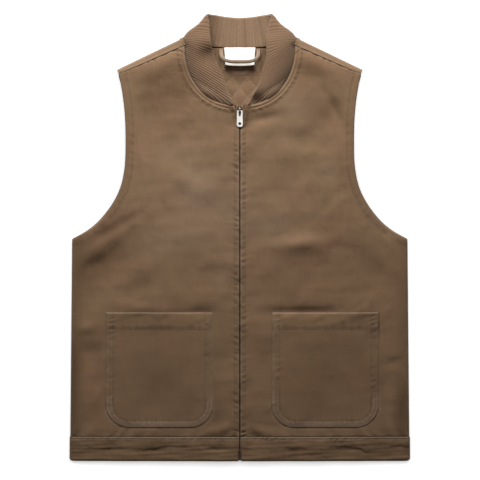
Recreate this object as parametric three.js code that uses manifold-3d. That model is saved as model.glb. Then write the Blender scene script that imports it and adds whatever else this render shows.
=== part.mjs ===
import * as THREE from 'three';
import Module from 'manifold-3d';

// Canvas zip-front vest lying on its back. Millimetres: X across, Y from hem to collar, Z up from the surface.

// Body outline
const HALF_CHEST = 277;
const HALF_HEM = 280;
const HEM_Y = -369.5;
const HEM_SEAM_Y = -330;
const UNDERARM_Y = -3;
const SHOULDER_NECK = { x: 96, y: 327.5 };
const SHOULDER_TIP = { x: 203, y: 276 };
const SHOULDER_SEAM_INSET = 9;
const SHOULDER_SEAM_GAP = 0.9;

// Neck
const NECK_HALF = 91;
const NECK_TOP_Y = 316.5;
const NECK_DEPTH = 100.3;
const NECK_ROUNDNESS = 2.2;
const BACK_NECK_Y = 312;
const BACK_NECK_BEND = 2.5;

// Cloth
const CANVAS = 1.6;
const BAND = 2.4;
const LINING = 2.5;
const KNIT = 4;
const WOVEN_TAPE = 1;
const SEAM_GAP = 0.4;

// How the layers lie over each other
const ROLL = 6.5;
const SIDE_SEAM_HALF = 0.5;
const CLOSING_LENGTH = 70;
const CROWN_START = 12;
const CROWN_FULL = 130;
const FOLD_FULL = 45;
const SIDE_CALM = 32;
const RIDGE = { depth: 24, breadth: 17, rise: 5, start: -4, full: 22, fade: 0.45 };

// Hem band
const BAND_PROUD = 1;
const HEM_CORNER = 5;

// Pockets
const POCKET_CENTRE_LEFT = -132.5;
const POCKET_CENTRE_RIGHT = 141;
const POCKET_HALF = 87.5;
const POCKET_MOUTH_Y = -124;
const POCKET_BASE_Y = -313;
const POCKET_CORNER = 37;
const POCKET_BULGE = 10;
const POCKET_FLATNESS = 3;
const POCKET_GAP = 0.5;

// Zip
const ZIP_EDGE = 0.8;
const ZIP_SPREAD = 8.6;
const ZIP_SPREAD_Y = 176;
const ZIP_TOP_Y = NECK_TOP_Y - NECK_DEPTH;
const ZIP_DROP = 3.3;
const TAPE_EDGE = 2.4;
const TAPE_SPREAD = 3.4;
const TAPE_WIDTH = 12;
const TAPE_TOP_LAP = 2;
const TEETH_HALF = 2;
const TEETH_THICK = 2;
const SLIDER_Y = 208.5;
const SLIDER_LENGTH = 12;
const SLIDER_HEAD_HALF = 4.7;
const SLIDER_TAIL_HALF = 3.8;
const SLIDER_PLATE = 1.4;
const SLIDER_CHANNEL = 3;
const SLIDER_POST_HALF = 1.4;
const SLIDER_POST_LENGTH = 4;
const BAIL_WIDTH = 1.7;
const BAIL_OUTER = { along: 5.4, up: 4.6 };
const BAIL_INNER = { along: 4.2, up: 3.4 };
const BAIL_ROOT = 0.4;
const PULL_THICK = 1.6;
const PULL_LENGTH = 27;
const PULL_HEAD_HALF = 4.4;
const PULL_FOOT_HALF = 5;
const PULL_BAR = 1.4;
const PULL_SLOT_HALF = 2.6;
const PULL_SLOT_TAPER = 1.2;
const PULL_SLOT_LENGTH = 8.6;
const PULL_HOLE_RADIUS = 2.4;
const PULL_HOLE_RISE = 5.4;
const PULL_ROUND = 1.6;
const PIVOT_Y = 207.4;
const PIVOT_ABOVE_PLATE = 1.45;
const PULL_CLEARANCE = 0.5;
const STOP = { half: 3.2, length: 11, thick: 3, inset: 2, gap: 1 };
const ZIP_FOOT_Y = HEM_Y + STOP.length + STOP.inset + STOP.gap;

// Back neck trims
const LINING_INSET = 14;
const LINING_NECK_INSET = 3;
const LABEL = { half: 26, top: 310.5, length: 28.5, height: 6.4, bow: 1.5, lift: 7, thick: 1 };
const LOOP = { half: 28, top: 311, drop: 20.5, squareness: 4, height: 6.8, bow: 13, width: 4.5, thick: 1.2 };

// Facets
const PATH_STEPS = 48;
const ROLL_STEPS = 4;
const FOLD_STEPS = 6;
const FRONT_GRID = { columns: 9, rows: 22 };
const BACK_GRID = { columns: 6, count: 14 };
const LINING_GRID = { columns: 3, count: 9 };
const BAND_COLUMNS = { front: 9, back: 8 };
const POCKET_GRID = { columns: 12, corner: 4, body: 5 };
const COLLAR_ACROSS = 6;
const ZIP_STEPS = 20;
const LABEL_STEPS = 6;
const LOOP_STEPS = 22;
const ROUND_STEPS = 8;

const ROUGHNESS = { cloth: 0.9, metal: 0.35 };
const COLOURS = { canvas: 0x705a45, knit: 0x766049, lining: 0x6f5840, tape: 0x55432f, teeth: 0x3d3226 };
const METAL_COLOUR = 0xbdb8ae;
const LABEL_COLOUR = 0xf1eee6;

// Armhole edge, from the underarm to the shoulder tip
const ARMHOLE = [
  { y: -3, x: 277 },
  { y: 10, x: 253.5 },
  { y: 27, x: 232.5 },
  { y: 54, x: 211 },
  { y: 82, x: 197 },
  { y: 115, x: 190 },
  { y: 155, x: 188.4 },
  { y: 205, x: 190 },
  { y: 250, x: 196 },
  { y: 276, x: 203 },
];

// Height of the front above its edges along the body's middle
const CROWN = [
  { y: -370, rise: 9 },
  { y: -300, rise: 12 },
  { y: -180, rise: 16 },
  { y: -20, rise: 18 },
  { y: 110, rise: 18 },
  { y: 216, rise: 15 },
  { y: 330, rise: 10 },
];

// Half width over which that height falls away
const CROWN_HALF = [
  { y: -370, x: 281 },
  { y: -150, x: 280 },
  { y: -80, x: 277 },
  { y: -20, x: 263 },
  { y: 40, x: 241 },
  { y: 100, x: 223 },
  { y: 160, x: 213 },
  { y: 220, x: 210 },
  { y: 330, x: 210 },
];

// Main dents and folds of the front: middle, turn from +X in degrees, half length, half breadth and rise
const FOLDS = [
  { x: -214, y: -50, turn: 47, reach: 72, breadth: 26, rise: -8 },
  { x: -262, y: -24, turn: 47, reach: 46, breadth: 15, rise: 3.5 },
  { x: 116, y: -10, turn: 4, reach: 62, breadth: 16, rise: 4.8 },
  { x: -128, y: 202, turn: 10, reach: 56, breadth: 42, rise: -10 },
  { x: -118, y: 150, turn: 8, reach: 62, breadth: 58, rise: -5 },
  { x: 128, y: 196, turn: -12, reach: 54, breadth: 40, rise: -10 },
  { x: 118, y: 146, turn: -8, reach: 60, breadth: 56, rise: -4.5 },
  { x: 152, y: 222, turn: -49, reach: 50, breadth: 14, rise: -3 },
  { x: 42, y: 196, turn: 12, reach: 32, breadth: 9, rise: -3.5 },
  { x: -250, y: -184, turn: -5, reach: 30, breadth: 16, rise: -3.2 },
  { x: 234, y: -52, turn: -30, reach: 48, breadth: 18, rise: -5.5 },
  { x: 256, y: -14, turn: -40, reach: 38, breadth: 12, rise: 2.5 },
  { x: -36, y: -318, turn: 14, reach: 26, breadth: 8, rise: 2.5 },
  { x: 36, y: -320, turn: -12, reach: 24, breadth: 8, rise: 2.5 },
  { x: -98, y: 92, turn: -28, reach: 42, breadth: 18, rise: 4 },
  { x: 84, y: 140, turn: 10, reach: 42, breadth: 18, rise: 3 },
  { x: -160, y: -78, turn: 20, reach: 44, breadth: 18, rise: -2.4 },
  { x: -120, y: 30, turn: 24, reach: 52, breadth: 16, rise: -2.2 },
  { x: 60, y: 50, turn: -20, reach: 46, breadth: 15, rise: 2.2 },
];

// Collar, a row per rib section from the zip round to the middle of the back, given for the +X half
const COLLAR = [
  { seam: [60.5, 240.5, 22.3], middle: [57, 237.5, 24.5], edge: [52.5, 234.5, 25] },
  { seam: [67, 248, 20.6], middle: [52, 238, 26.5], edge: [35, 224.6, 27.6] },
  { seam: [74, 258.5, 18.7], middle: [46, 242.5, 28], edge: [12.5, 219.8, 29.3] },
  { seam: [80.3, 271.5, 16.8], middle: [53, 253.5, 28], edge: [17.5, 230.5, 31] },
  { seam: [85.2, 287, 15.7], middle: [60, 271, 27.5], edge: [26, 248, 31.5] },
  { seam: [87.6, 302, 14.9], middle: [65, 290, 26], edge: [33.5, 272.5, 30.5] },
  { seam: [87.9, 315, 13.6], middle: [69, 308, 24], edge: [42.5, 295.5, 28] },
  { seam: [92.5, 326, 6.5], middle: [75.5, 326, 19], edge: [47.5, 322, 24.5] },
  { seam: [86, 324.5, 4], middle: [79.5, 338.5, 14.5], edge: [48.8, 336.5, 20] },
  { seam: [74.5, 320.5, 4.4], middle: [68.5, 348.6, 13], edge: [49.8, 351, 17] },
  { seam: [65.5, 318.4, 4.5], middle: [58.5, 355, 11], edge: [51.5, 366.5, 13] },
  { seam: [55.5, 317, 4.6], middle: [50, 345.5, 6.5], edge: [44, 366.8, 8.5] },
  { seam: [29, 314.8, 4.6], middle: [26, 341, 5], edge: [22.5, 363.6, 6] },
  { seam: [0, 314.2, 4.6], middle: [0, 340, 4.8], edge: [0, 362, 5.2] },
];

const { smoothstep, lerp, degToRad } = THREE.MathUtils;
const kernel = await Module();
kernel.setup();

// Smooth curve through the rows of a table, keyed by y
function tableValue(rows, column, y) {
  let i = 0;
  while (i < rows.length - 2 && y > rows[i + 1].y) i += 1;
  const slope = (k) => {
    const before = rows[Math.max(k - 1, 0)];
    const after = rows[Math.min(k + 1, rows.length - 1)];
    return (after[column] - before[column]) / (after.y - before.y);
  };
  const span = rows[i + 1].y - rows[i].y;
  const t = THREE.MathUtils.clamp((y - rows[i].y) / span, 0, 1);
  const start = rows[i][column] * (1 + 2 * t) * (1 - t) ** 2 + slope(i) * span * t * (1 - t) ** 2;
  const end = rows[i + 1][column] * t * t * (3 - 2 * t) + slope(i + 1) * span * t * t * (t - 1);
  return start + end;
}

function halfWidth(y) {
  if (y >= UNDERARM_Y) return tableValue(ARMHOLE, 'x', y);
  return lerp(HALF_HEM, HALF_CHEST, (y - HEM_SEAM_Y) / (UNDERARM_Y - HEM_SEAM_Y));
}

// Direction square to the shoulder fold, pointing off the garment
const SHOULDER_OUT = new THREE.Vector2(
  SHOULDER_NECK.y - SHOULDER_TIP.y,
  SHOULDER_TIP.x - SHOULDER_NECK.x,
).normalize();
const SHOULDER_LENGTH = Math.hypot(SHOULDER_TIP.x - SHOULDER_NECK.x, SHOULDER_TIP.y - SHOULDER_NECK.y);

function shoulderDepth(x, y) {
  return (SHOULDER_NECK.x - Math.abs(x)) * SHOULDER_OUT.x + (SHOULDER_NECK.y - y) * SHOULDER_OUT.y;
}

function foldHeight(x, y) {
  let height = 0;
  for (const fold of FOLDS) {
    const turn = degToRad(fold.turn);
    const along = (x - fold.x) * Math.cos(turn) + (y - fold.y) * Math.sin(turn);
    const across = (y - fold.y) * Math.cos(turn) - (x - fold.x) * Math.sin(turn);
    height += fold.rise * Math.exp(-((along / fold.reach) ** 2) - (across / fold.breadth) ** 2);
  }
  return height;
}

// Rise of the side roll over its middle line: 1 where the roll is flat, 0 at the side seam
function rollShare(x, y, half) {
  const inset = THREE.MathUtils.clamp(half - Math.abs(x), 0, ROLL);
  const closing = 1 - smoothstep(y, UNDERARM_Y, UNDERARM_Y + CLOSING_LENGTH);
  return Math.sqrt(Math.max(1 - closing * (1 - inset / ROLL) ** 2, 0));
}

// Thick seam along each shoulder, fading towards the armhole
function shoulderRidge(x, y) {
  const run = (Math.abs(x) - SHOULDER_NECK.x) * SHOULDER_OUT.y - (y - SHOULDER_NECK.y) * SHOULDER_OUT.x;
  const fade = 1 - smoothstep(run, RIDGE.fade * SHOULDER_LENGTH, SHOULDER_LENGTH);
  const ends = smoothstep(run, RIDGE.start, RIDGE.full) * fade;
  return RIDGE.rise * ends * Math.exp(-(((shoulderDepth(x, y) - RIDGE.depth) / RIDGE.breadth) ** 2));
}

// Outer face of the front
function frontHeight(x, y, half = halfWidth(y)) {
  const depth = shoulderDepth(x, y);
  const middle = Math.max(1 - (x / tableValue(CROWN_HALF, 'x', y)) ** 2, 0);
  const crown = tableValue(CROWN, 'rise', y) * middle * smoothstep(depth, CROWN_START, CROWN_FULL);
  const inland = smoothstep(half - Math.abs(x), 0, SIDE_CALM);
  const folds = foldHeight(x, y) * inland * smoothstep(depth, CROWN_START, FOLD_FULL);
  const roll = lerp(ROLL + SIDE_SEAM_HALF, 2 * ROLL, rollShare(x, y, half));
  return roll + crown + folds + shoulderRidge(x, y);
}

// Outer face of the back, which lies on the surface
function backHeight(x, y, half = halfWidth(y)) {
  return lerp(ROLL - SIDE_SEAM_HALF, 0, rollShare(x, y, half));
}

function zipEdge(y) {
  return ZIP_EDGE + ZIP_SPREAD * Math.max((y - ZIP_SPREAD_Y) / (ZIP_TOP_Y - ZIP_SPREAD_Y), 0) ** 2;
}

// Plan paths, as lists of points with their running length
function plan(points) {
  const lengths = [0];
  for (let i = 1; i < points.length; i += 1) {
    lengths.push(lengths[i - 1] + points[i].distanceTo(points[i - 1]));
  }
  return { points, lengths, total: lengths[lengths.length - 1] };
}

function planPoint(path, share) {
  const wanted = share * path.total;
  let i = 1;
  while (i < path.points.length - 1 && path.lengths[i] < wanted) i += 1;
  const t = (wanted - path.lengths[i - 1]) / (path.lengths[i] - path.lengths[i - 1]);
  return path.points[i - 1].clone().lerp(path.points[i], t);
}

function spread(from, to, steps, place) {
  return Array.from({ length: steps + 1 }, (_, i) => place(lerp(from, to, i / steps)));
}

function edgePath(fromY, toY, inset) {
  const place = (y) => new THREE.Vector2(halfWidth(y) - inset, y);
  return spread(fromY, UNDERARM_Y, 1, place).concat(spread(UNDERARM_Y, toY, PATH_STEPS, place).slice(1));
}

function frontNeckPath() {
  const start = Math.asin((zipEdge(ZIP_TOP_Y) / NECK_HALF) ** (NECK_ROUNDNESS / 2));
  return spread(start, Math.PI / 2, PATH_STEPS, (angle) => new THREE.Vector2(
    NECK_HALF * Math.sin(angle) ** (2 / NECK_ROUNDNESS),
    NECK_TOP_Y - NECK_DEPTH * Math.max(Math.cos(angle), 0) ** (2 / NECK_ROUNDNESS),
  ));
}

// Line along the shoulder, a given way in from its fold
function shoulderLine(inset) {
  const shift = SHOULDER_OUT.clone().multiplyScalar(-inset);
  return {
    neck: new THREE.Vector2(SHOULDER_NECK.x, SHOULDER_NECK.y).add(shift),
    tip: new THREE.Vector2(SHOULDER_TIP.x, SHOULDER_TIP.y).add(shift),
  };
}

// Plan rows from an inner to an outer path, closer together over the side roll
function planRows(inner, outer, shares, columns) {
  return shares.map((share) => {
    const from = planPoint(inner, share);
    const to = planPoint(outer, share);
    const flat = 1 - ROLL / from.distanceTo(to);
    const even = spread(0, flat, columns, (t) => from.clone().lerp(to, t));
    const rolled = spread(0, Math.PI / 2, ROLL_STEPS, (a) => from.clone().lerp(to, lerp(flat, 1, Math.sin(a))));
    return even.concat(rolled.slice(1));
  });
}

function sharesThrough(corners, count) {
  const marks = [0, ...corners.sort((a, b) => a - b), 1];
  const shares = [0];
  for (let i = 1; i < marks.length; i += 1) {
    const steps = Math.max(Math.round((marks[i] - marks[i - 1]) * count), 1);
    shares.push(...spread(marks[i - 1], marks[i], steps, (t) => t).slice(1));
  }
  return shares;
}

// Sheets: points and outward triangles of one face
function gridSheet(rows, faceUp) {
  const width = rows[0].length;
  const faces = [];
  for (let r = 0; r < rows.length - 1; r += 1) {
    for (let c = 0; c < width - 1; c += 1) {
      const a = r * width + c;
      faces.push([a, a + 1, a + width + 1], [a, a + width + 1, a + width]);
    }
  }
  const sheet = { points: rows.flat(), faces };
  const upright = sheetNormals(sheet)[Math.floor(sheet.points.length / 2)].z > 0;
  return upright === faceUp ? sheet : turned(sheet);
}

function turned(sheet) {
  return { points: sheet.points, faces: sheet.faces.map(([a, b, c]) => [a, c, b]) };
}

function mirrored(sheet) {
  const points = sheet.points.map((p) => new THREE.Vector3(-p.x, p.y, p.z));
  return turned({ points, faces: sheet.faces });
}

const WELD_STEP = 0.001;

function welded(sheets) {
  const seen = new Map();
  const points = [];
  const faces = [];
  for (const sheet of sheets) {
    const ids = sheet.points.map((p) => {
      const key = [p.x, p.y, p.z].map((v) => Math.round(v / WELD_STEP)).join(',');
      if (!seen.has(key)) {
        seen.set(key, points.length);
        points.push(p);
      }
      return seen.get(key);
    });
    faces.push(...sheet.faces.map((face) => face.map((i) => ids[i])));
  }
  return { points, faces };
}

function sheetNormals({ points, faces }) {
  const normals = points.map(() => new THREE.Vector3());
  for (const [a, b, c] of faces) {
    const square = points[b].clone().sub(points[a]).cross(points[c].clone().sub(points[a]));
    [a, b, c].forEach((i) => normals[i].add(square));
  }
  return normals.map((normal) => normal.normalize());
}

// Wall of a given thickness behind a sheet's outward face
function wall(sheet, thickness) {
  const count = sheet.points.length;
  const normals = sheetNormals(sheet);
  const behind = sheet.points.map((p, i) => p.clone().addScaledVector(normals[i], -thickness));
  const open = new Map();
  const faces = [...sheet.faces];
  for (const [a, b, c] of sheet.faces) {
    faces.push([a + count, c + count, b + count]);
    for (const [from, to] of [[a, b], [b, c], [c, a]]) {
      if (!open.delete(`${to},${from}`)) open.set(`${from},${to}`, [from, to]);
    }
  }
  for (const [from, to] of open.values()) {
    faces.push([to, from, from + count], [to, from + count, to + count]);
  }
  const geometry = new THREE.BufferGeometry().setFromPoints([...sheet.points, ...behind]);
  geometry.setIndex(faces.flat());
  return geometry;
}

function frontPanel(side) {
  const { columns, rows } = FRONT_GRID;
  const seam = shoulderLine(SHOULDER_SEAM_INSET + SHOULDER_SEAM_GAP);
  const low = HEM_SEAM_Y + SEAM_GAP;
  const zipSide = spread(low, ZIP_TOP_Y, PATH_STEPS, (y) => new THREE.Vector2(zipEdge(y), y));
  const inner = plan(zipSide.concat(frontNeckPath().slice(1, -1), [seam.neck]));
  const outer = plan(edgePath(low, seam.tip.y, 0).slice(0, -1).concat([seam.tip]));
  const zipShare = inner.lengths[zipSide.length - 1] / inner.total;
  const sideShare = outer.lengths[1] / outer.total;
  const grid = planRows(inner, outer, sharesThrough([zipShare, sideShare], rows), columns);
  const lifted = grid.map((row) => row.map((p) => (
    new THREE.Vector3(side * p.x, p.y, frontHeight(side * p.x, p.y))
  )));
  return wall(gridSheet(lifted, true), CANVAS);
}

// Plan of half the back, up to the line where the shoulder fold begins
function backPlan({ low, inset, neckInset, columns, count }) {
  const top = shoulderLine(ROLL + inset);
  const neck = new THREE.Vector2(top.neck.x - inset, top.neck.y);
  const middle = spread(low, BACK_NECK_Y - neckInset, 1, (y) => new THREE.Vector2(0, y));
  const curve = spread(0, neck.x, PATH_STEPS, (x) => (
    new THREE.Vector2(x, lerp(BACK_NECK_Y - neckInset, neck.y, (x / neck.x) ** BACK_NECK_BEND))
  ));
  const inner = plan(middle.concat(curve.slice(1, -1), [neck]));
  const tip = new THREE.Vector2(top.tip.x - inset, top.tip.y);
  const edge = edgePath(low, tip.y, inset);
  const outer = plan(edge.slice(0, -1).concat([tip]));
  const shares = sharesThrough([inner.lengths[1] / inner.total, outer.lengths[1] / outer.total], count);
  return planRows(inner, outer, shares, columns);
}

function backPanel() {
  const grid = backPlan({ low: HEM_SEAM_Y + SEAM_GAP, inset: 0, neckInset: 0, ...BACK_GRID });
  const rows = grid.map((row) => row.map((p) => new THREE.Vector3(p.x, p.y, backHeight(p.x, p.y))));
  const foldStart = grid[grid.length - 1];
  const foldRow = (out, height) => foldStart.map((p) => {
    const x = p.x + SHOULDER_OUT.x * out;
    const y = p.y + SHOULDER_OUT.y * out;
    const onTop = Math.max(height / ROLL - 1, 0);
    return new THREE.Vector3(x, y, height + shoulderRidge(x, y) * onTop);
  });
  for (let i = 1; i <= FOLD_STEPS; i += 1) {
    const angle = lerp(-Math.PI / 2, Math.PI / 2, i / FOLD_STEPS);
    rows.push(foldRow(ROLL * Math.cos(angle), ROLL + ROLL * Math.sin(angle)));
  }
  rows.push(foldRow(ROLL - SHOULDER_SEAM_INSET, 2 * ROLL));
  const half = gridSheet(rows, false);
  return wall(welded([half, mirrored(half)]), CANVAS);
}

function backLining() {
  const low = HEM_SEAM_Y + LINING_INSET;
  const grid = backPlan({ low, inset: LINING_INSET, neckInset: LINING_NECK_INSET, ...LINING_GRID });
  const top = CANVAS + 2 * SEAM_GAP + LINING;
  const half = gridSheet(grid.map((row) => row.map((p) => new THREE.Vector3(p.x, p.y, top))), true);
  return wall(welded([half, mirrored(half)]), LINING);
}

// Half width of the hem band, rounded off at its lower corners
function bandHalf(y) {
  const short = Math.max(HEM_CORNER - (y - HEM_Y), 0);
  return halfWidth(y) + BAND_PROUD - HEM_CORNER + Math.sqrt(HEM_CORNER ** 2 - short ** 2);
}

function hemBand() {
  const levels = [HEM_Y, HEM_Y + HEM_CORNER / 2, HEM_Y + HEM_CORNER, (HEM_Y + HEM_SEAM_Y) / 2, HEM_SEAM_Y];
  const rows = levels.map((y) => {
    const half = bandHalf(y);
    const quarter = spread(0, Math.PI / 2, ROLL_STEPS, (a) => half - ROLL + ROLL * Math.sin(a));
    const across = spread(ZIP_EDGE, half - ROLL, BAND_COLUMNS.front, (x) => x).concat(quarter.slice(1));
    const under = quarter.slice(0, -1).reverse();
    const rest = spread(half - ROLL, 0, BAND_COLUMNS.back, (x) => x).slice(1);
    const front = across.map((x) => [x, (side) => frontHeight(side * x, y, half)]);
    const back = under.concat(rest).map((x) => [x, () => backHeight(x, y, half)]);
    const around = (side) => front.concat(back).map(([x, z]) => new THREE.Vector3(side * x, y, z(side)));
    return around(-1).concat(around(1).reverse().slice(1));
  });
  return wall(gridSheet(rows, false), BAND);
}

function pocket(centre) {
  const { columns, corner, body } = POCKET_GRID;
  const levels = spread(0, 1, corner, (t) => POCKET_BASE_Y + POCKET_CORNER * (1 - Math.cos(t * Math.PI / 2)))
    .concat(spread(POCKET_BASE_Y + POCKET_CORNER, POCKET_MOUTH_Y, body, (y) => y).slice(1));
  const rows = levels.map((y) => {
    const short = Math.max(POCKET_CORNER - (y - POCKET_BASE_Y), 0);
    const half = POCKET_HALF - POCKET_CORNER + Math.sqrt(POCKET_CORNER ** 2 - short ** 2);
    const up = (y - POCKET_BASE_Y) / (POCKET_MOUTH_Y - POCKET_BASE_Y);
    return spread(-1, 1, columns, (u) => {
      const x = centre + u * half;
      const bulge = POCKET_BULGE * up * (1 - Math.abs(u) ** POCKET_FLATNESS);
      return new THREE.Vector3(x, y, frontHeight(x, y) + POCKET_GAP + bulge + CANVAS);
    });
  });
  return wall(gridSheet(rows, true), CANVAS);
}

function collar() {
  const other = COLLAR.slice(0, -1).reverse();
  const curveOf = (column) => new THREE.CatmullRomCurve3([
    ...COLLAR.map((row) => new THREE.Vector3(...row[column])),
    ...other.map((row) => new THREE.Vector3(-row[column][0], row[column][1], row[column][2])),
  ]);
  const [seam, middle, edge] = ['seam', 'middle', 'edge'].map(curveOf);
  const lengthwise = (COLLAR.length - 1) * 2;
  const rows = spread(0, 0.5, lengthwise, (t) => {
    const from = seam.getPoint(t);
    const to = edge.getPoint(t);
    const pull = middle.getPoint(t).multiplyScalar(2).addScaledVector(from, -0.5).addScaledVector(to, -0.5);
    const section = new THREE.QuadraticBezierCurve3(from, pull, to);
    return spread(0, 1, COLLAR_ACROSS, (s) => section.getPoint(s));
  });
  rows[lengthwise].forEach((point) => point.setX(0));
  const half = gridSheet(rows, true);
  const whole = welded([half, mirrored(half)]);
  const normals = sheetNormals(whole);
  whole.points = whole.points.map((p, i) => p.clone().addScaledVector(normals[i], KNIT / 2));
  return wall(whole, KNIT);
}

// Level of the zip below the front's outer face
function zipLevel(x, y) {
  return frontHeight(x, y) - ZIP_DROP;
}

function zipTape(side) {
  const rows = spread(ZIP_FOOT_Y, ZIP_TOP_Y + TAPE_TOP_LAP, ZIP_STEPS, (y) => {
    const inner = TAPE_EDGE + TAPE_SPREAD * smoothstep(y, SLIDER_Y - 2 * SLIDER_LENGTH, SLIDER_Y - SLIDER_LENGTH);
    return [inner, inner + TAPE_WIDTH].map((x) => new THREE.Vector3(side * x, y, zipLevel(side * x, y)));
  });
  return wall(gridSheet(rows, true), WOVEN_TAPE);
}

function zipTeeth() {
  const rows = spread(ZIP_FOOT_Y, SLIDER_Y - SLIDER_LENGTH / 2 - SEAM_GAP, ZIP_STEPS, (y) => (
    [-TEETH_HALF, TEETH_HALF].map((x) => new THREE.Vector3(x, y, zipLevel(x, y)))
  ));
  return wall(gridSheet(rows, true), TEETH_THICK);
}

function solidOf(geometry) {
  const sheet = { points: [], faces: [] };
  const place = geometry.getAttribute('position');
  for (let i = 0; i < place.count; i += 1) sheet.points.push(new THREE.Vector3().fromBufferAttribute(place, i));
  const order = geometry.index ? [...geometry.index.array] : sheet.points.map((_, i) => i);
  for (let i = 0; i < order.length; i += 3) sheet.faces.push(order.slice(i, i + 3));
  const { points, faces } = welded([sheet]);
  const kept = faces.filter(([a, b, c]) => a !== b && b !== c && c !== a);
  return new kernel.Manifold(new kernel.Mesh({
    numProp: 3,
    vertProperties: new Float32Array(points.flatMap((p) => [p.x, p.y, p.z])),
    triVerts: new Uint32Array(kept.flat()),
  }));
}

function joined(geometries) {
  const mesh = kernel.Manifold.union(geometries.map(solidOf)).getMesh();
  const geometry = new THREE.BufferGeometry();
  geometry.setAttribute('position', new THREE.Float32BufferAttribute(mesh.vertProperties, 3));
  geometry.setIndex([...mesh.triVerts]);
  return geometry;
}

function extruded(shape, depth) {
  return new THREE.ExtrudeGeometry(shape, { depth, bevelEnabled: false, curveSegments: ROUND_STEPS });
}

// Level of the pivot, set by the highest cloth under the pull tab
const PIVOT_Z = Math.max(...spread(PIVOT_Y - PULL_LENGTH, PIVOT_Y, ROUND_STEPS, (y) => (
  Math.max(frontHeight(PULL_FOOT_HALF, y), frontHeight(-PULL_FOOT_HALF, y))
))) + PULL_CLEARANCE + PULL_THICK / 2;
const PLATE_TOP = PIVOT_Z - PIVOT_ABOVE_PLATE;

function sliderPlate(top) {
  const end = SLIDER_LENGTH / 2;
  const shape = new THREE.Shape();
  shape.moveTo(-SLIDER_TAIL_HALF, -end);
  shape.lineTo(SLIDER_TAIL_HALF, -end);
  shape.lineTo(SLIDER_HEAD_HALF, end / 2);
  shape.quadraticCurveTo(SLIDER_HEAD_HALF, end, SLIDER_POST_HALF, end);
  shape.lineTo(-SLIDER_POST_HALF, end);
  shape.quadraticCurveTo(-SLIDER_HEAD_HALF, end, -SLIDER_HEAD_HALF, end / 2);
  return extruded(shape, SLIDER_PLATE).translate(0, SLIDER_Y, top - SLIDER_PLATE);
}

function zipSlider() {
  const post = new THREE.BoxGeometry(2 * SLIDER_POST_HALF, SLIDER_POST_LENGTH, SLIDER_CHANNEL + SLIDER_PLATE);
  const drop = (SLIDER_PLATE * 2 + SLIDER_CHANNEL) / 2;
  post.translate(0, SLIDER_Y + SLIDER_POST_LENGTH, PLATE_TOP - drop);
  const arch = new THREE.Shape();
  arch.moveTo(BAIL_OUTER.along, -BAIL_ROOT);
  arch.lineTo(BAIL_OUTER.along, 0);
  arch.absellipse(0, 0, BAIL_OUTER.along, BAIL_OUTER.up, 0, Math.PI, false);
  arch.lineTo(-BAIL_OUTER.along, -BAIL_ROOT);
  arch.lineTo(-BAIL_INNER.along, -BAIL_ROOT);
  arch.lineTo(-BAIL_INNER.along, 0);
  arch.absellipse(0, 0, BAIL_INNER.along, BAIL_INNER.up, Math.PI, 0, true);
  arch.lineTo(BAIL_INNER.along, -BAIL_ROOT);
  const bail = extruded(arch, BAIL_WIDTH).rotateX(Math.PI / 2).rotateZ(Math.PI / 2);
  bail.translate(-BAIL_WIDTH / 2, SLIDER_Y, PLATE_TOP);
  const lower = PLATE_TOP - SLIDER_PLATE - SLIDER_CHANNEL;
  return joined([sliderPlate(PLATE_TOP), sliderPlate(lower), post, bail]);
}

function zipPull() {
  const top = PULL_BAR / 2;
  const foot = top - PULL_LENGTH;
  const shape = new THREE.Shape();
  shape.moveTo(-PULL_HEAD_HALF + PULL_ROUND, top);
  shape.quadraticCurveTo(-PULL_HEAD_HALF, top, -PULL_HEAD_HALF, top - PULL_ROUND);
  shape.lineTo(-PULL_FOOT_HALF, foot + PULL_HOLE_RISE);
  shape.quadraticCurveTo(-PULL_FOOT_HALF, foot, -PULL_ROUND, foot);
  shape.lineTo(PULL_ROUND, foot);
  shape.quadraticCurveTo(PULL_FOOT_HALF, foot, PULL_FOOT_HALF, foot + PULL_HOLE_RISE);
  shape.lineTo(PULL_HEAD_HALF, top - PULL_ROUND);
  shape.quadraticCurveTo(PULL_HEAD_HALF, top, PULL_HEAD_HALF - PULL_ROUND, top);
  const slotEnd = PULL_SLOT_HALF - PULL_SLOT_TAPER;
  const slotFoot = -top - PULL_SLOT_LENGTH;
  const slot = new THREE.Path();
  slot.moveTo(-PULL_SLOT_HALF, -top);
  slot.lineTo(PULL_SLOT_HALF, -top);
  slot.lineTo(slotEnd, slotFoot + slotEnd);
  slot.absarc(0, slotFoot + slotEnd, slotEnd, 0, Math.PI, true);
  const hole = new THREE.Path();
  hole.absarc(0, foot + PULL_HOLE_RISE, PULL_HOLE_RADIUS, 0, 2 * Math.PI, false);
  shape.holes.push(slot, hole);
  return extruded(shape, PULL_THICK).translate(0, PIVOT_Y, PIVOT_Z - PULL_THICK / 2);
}

function zipStop() {
  const y = HEM_Y + STOP.inset + STOP.length / 2;
  const box = new THREE.BoxGeometry(2 * STOP.half, STOP.length, STOP.thick);
  return box.translate(0, y, zipLevel(0, y) - STOP.thick / 2);
}

function neckLabel() {
  const rows = spread(0, 1, LABEL_STEPS, (t) => {
    const z = LABEL.height + LABEL.bow * Math.sin(t * Math.PI) + LABEL.lift * t ** 2;
    return [-1, 0, 1].map((u) => new THREE.Vector3(u * LABEL.half, LABEL.top - t * LABEL.length, z));
  });
  return wall(gridSheet(rows, true), LABEL.thick);
}

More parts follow.
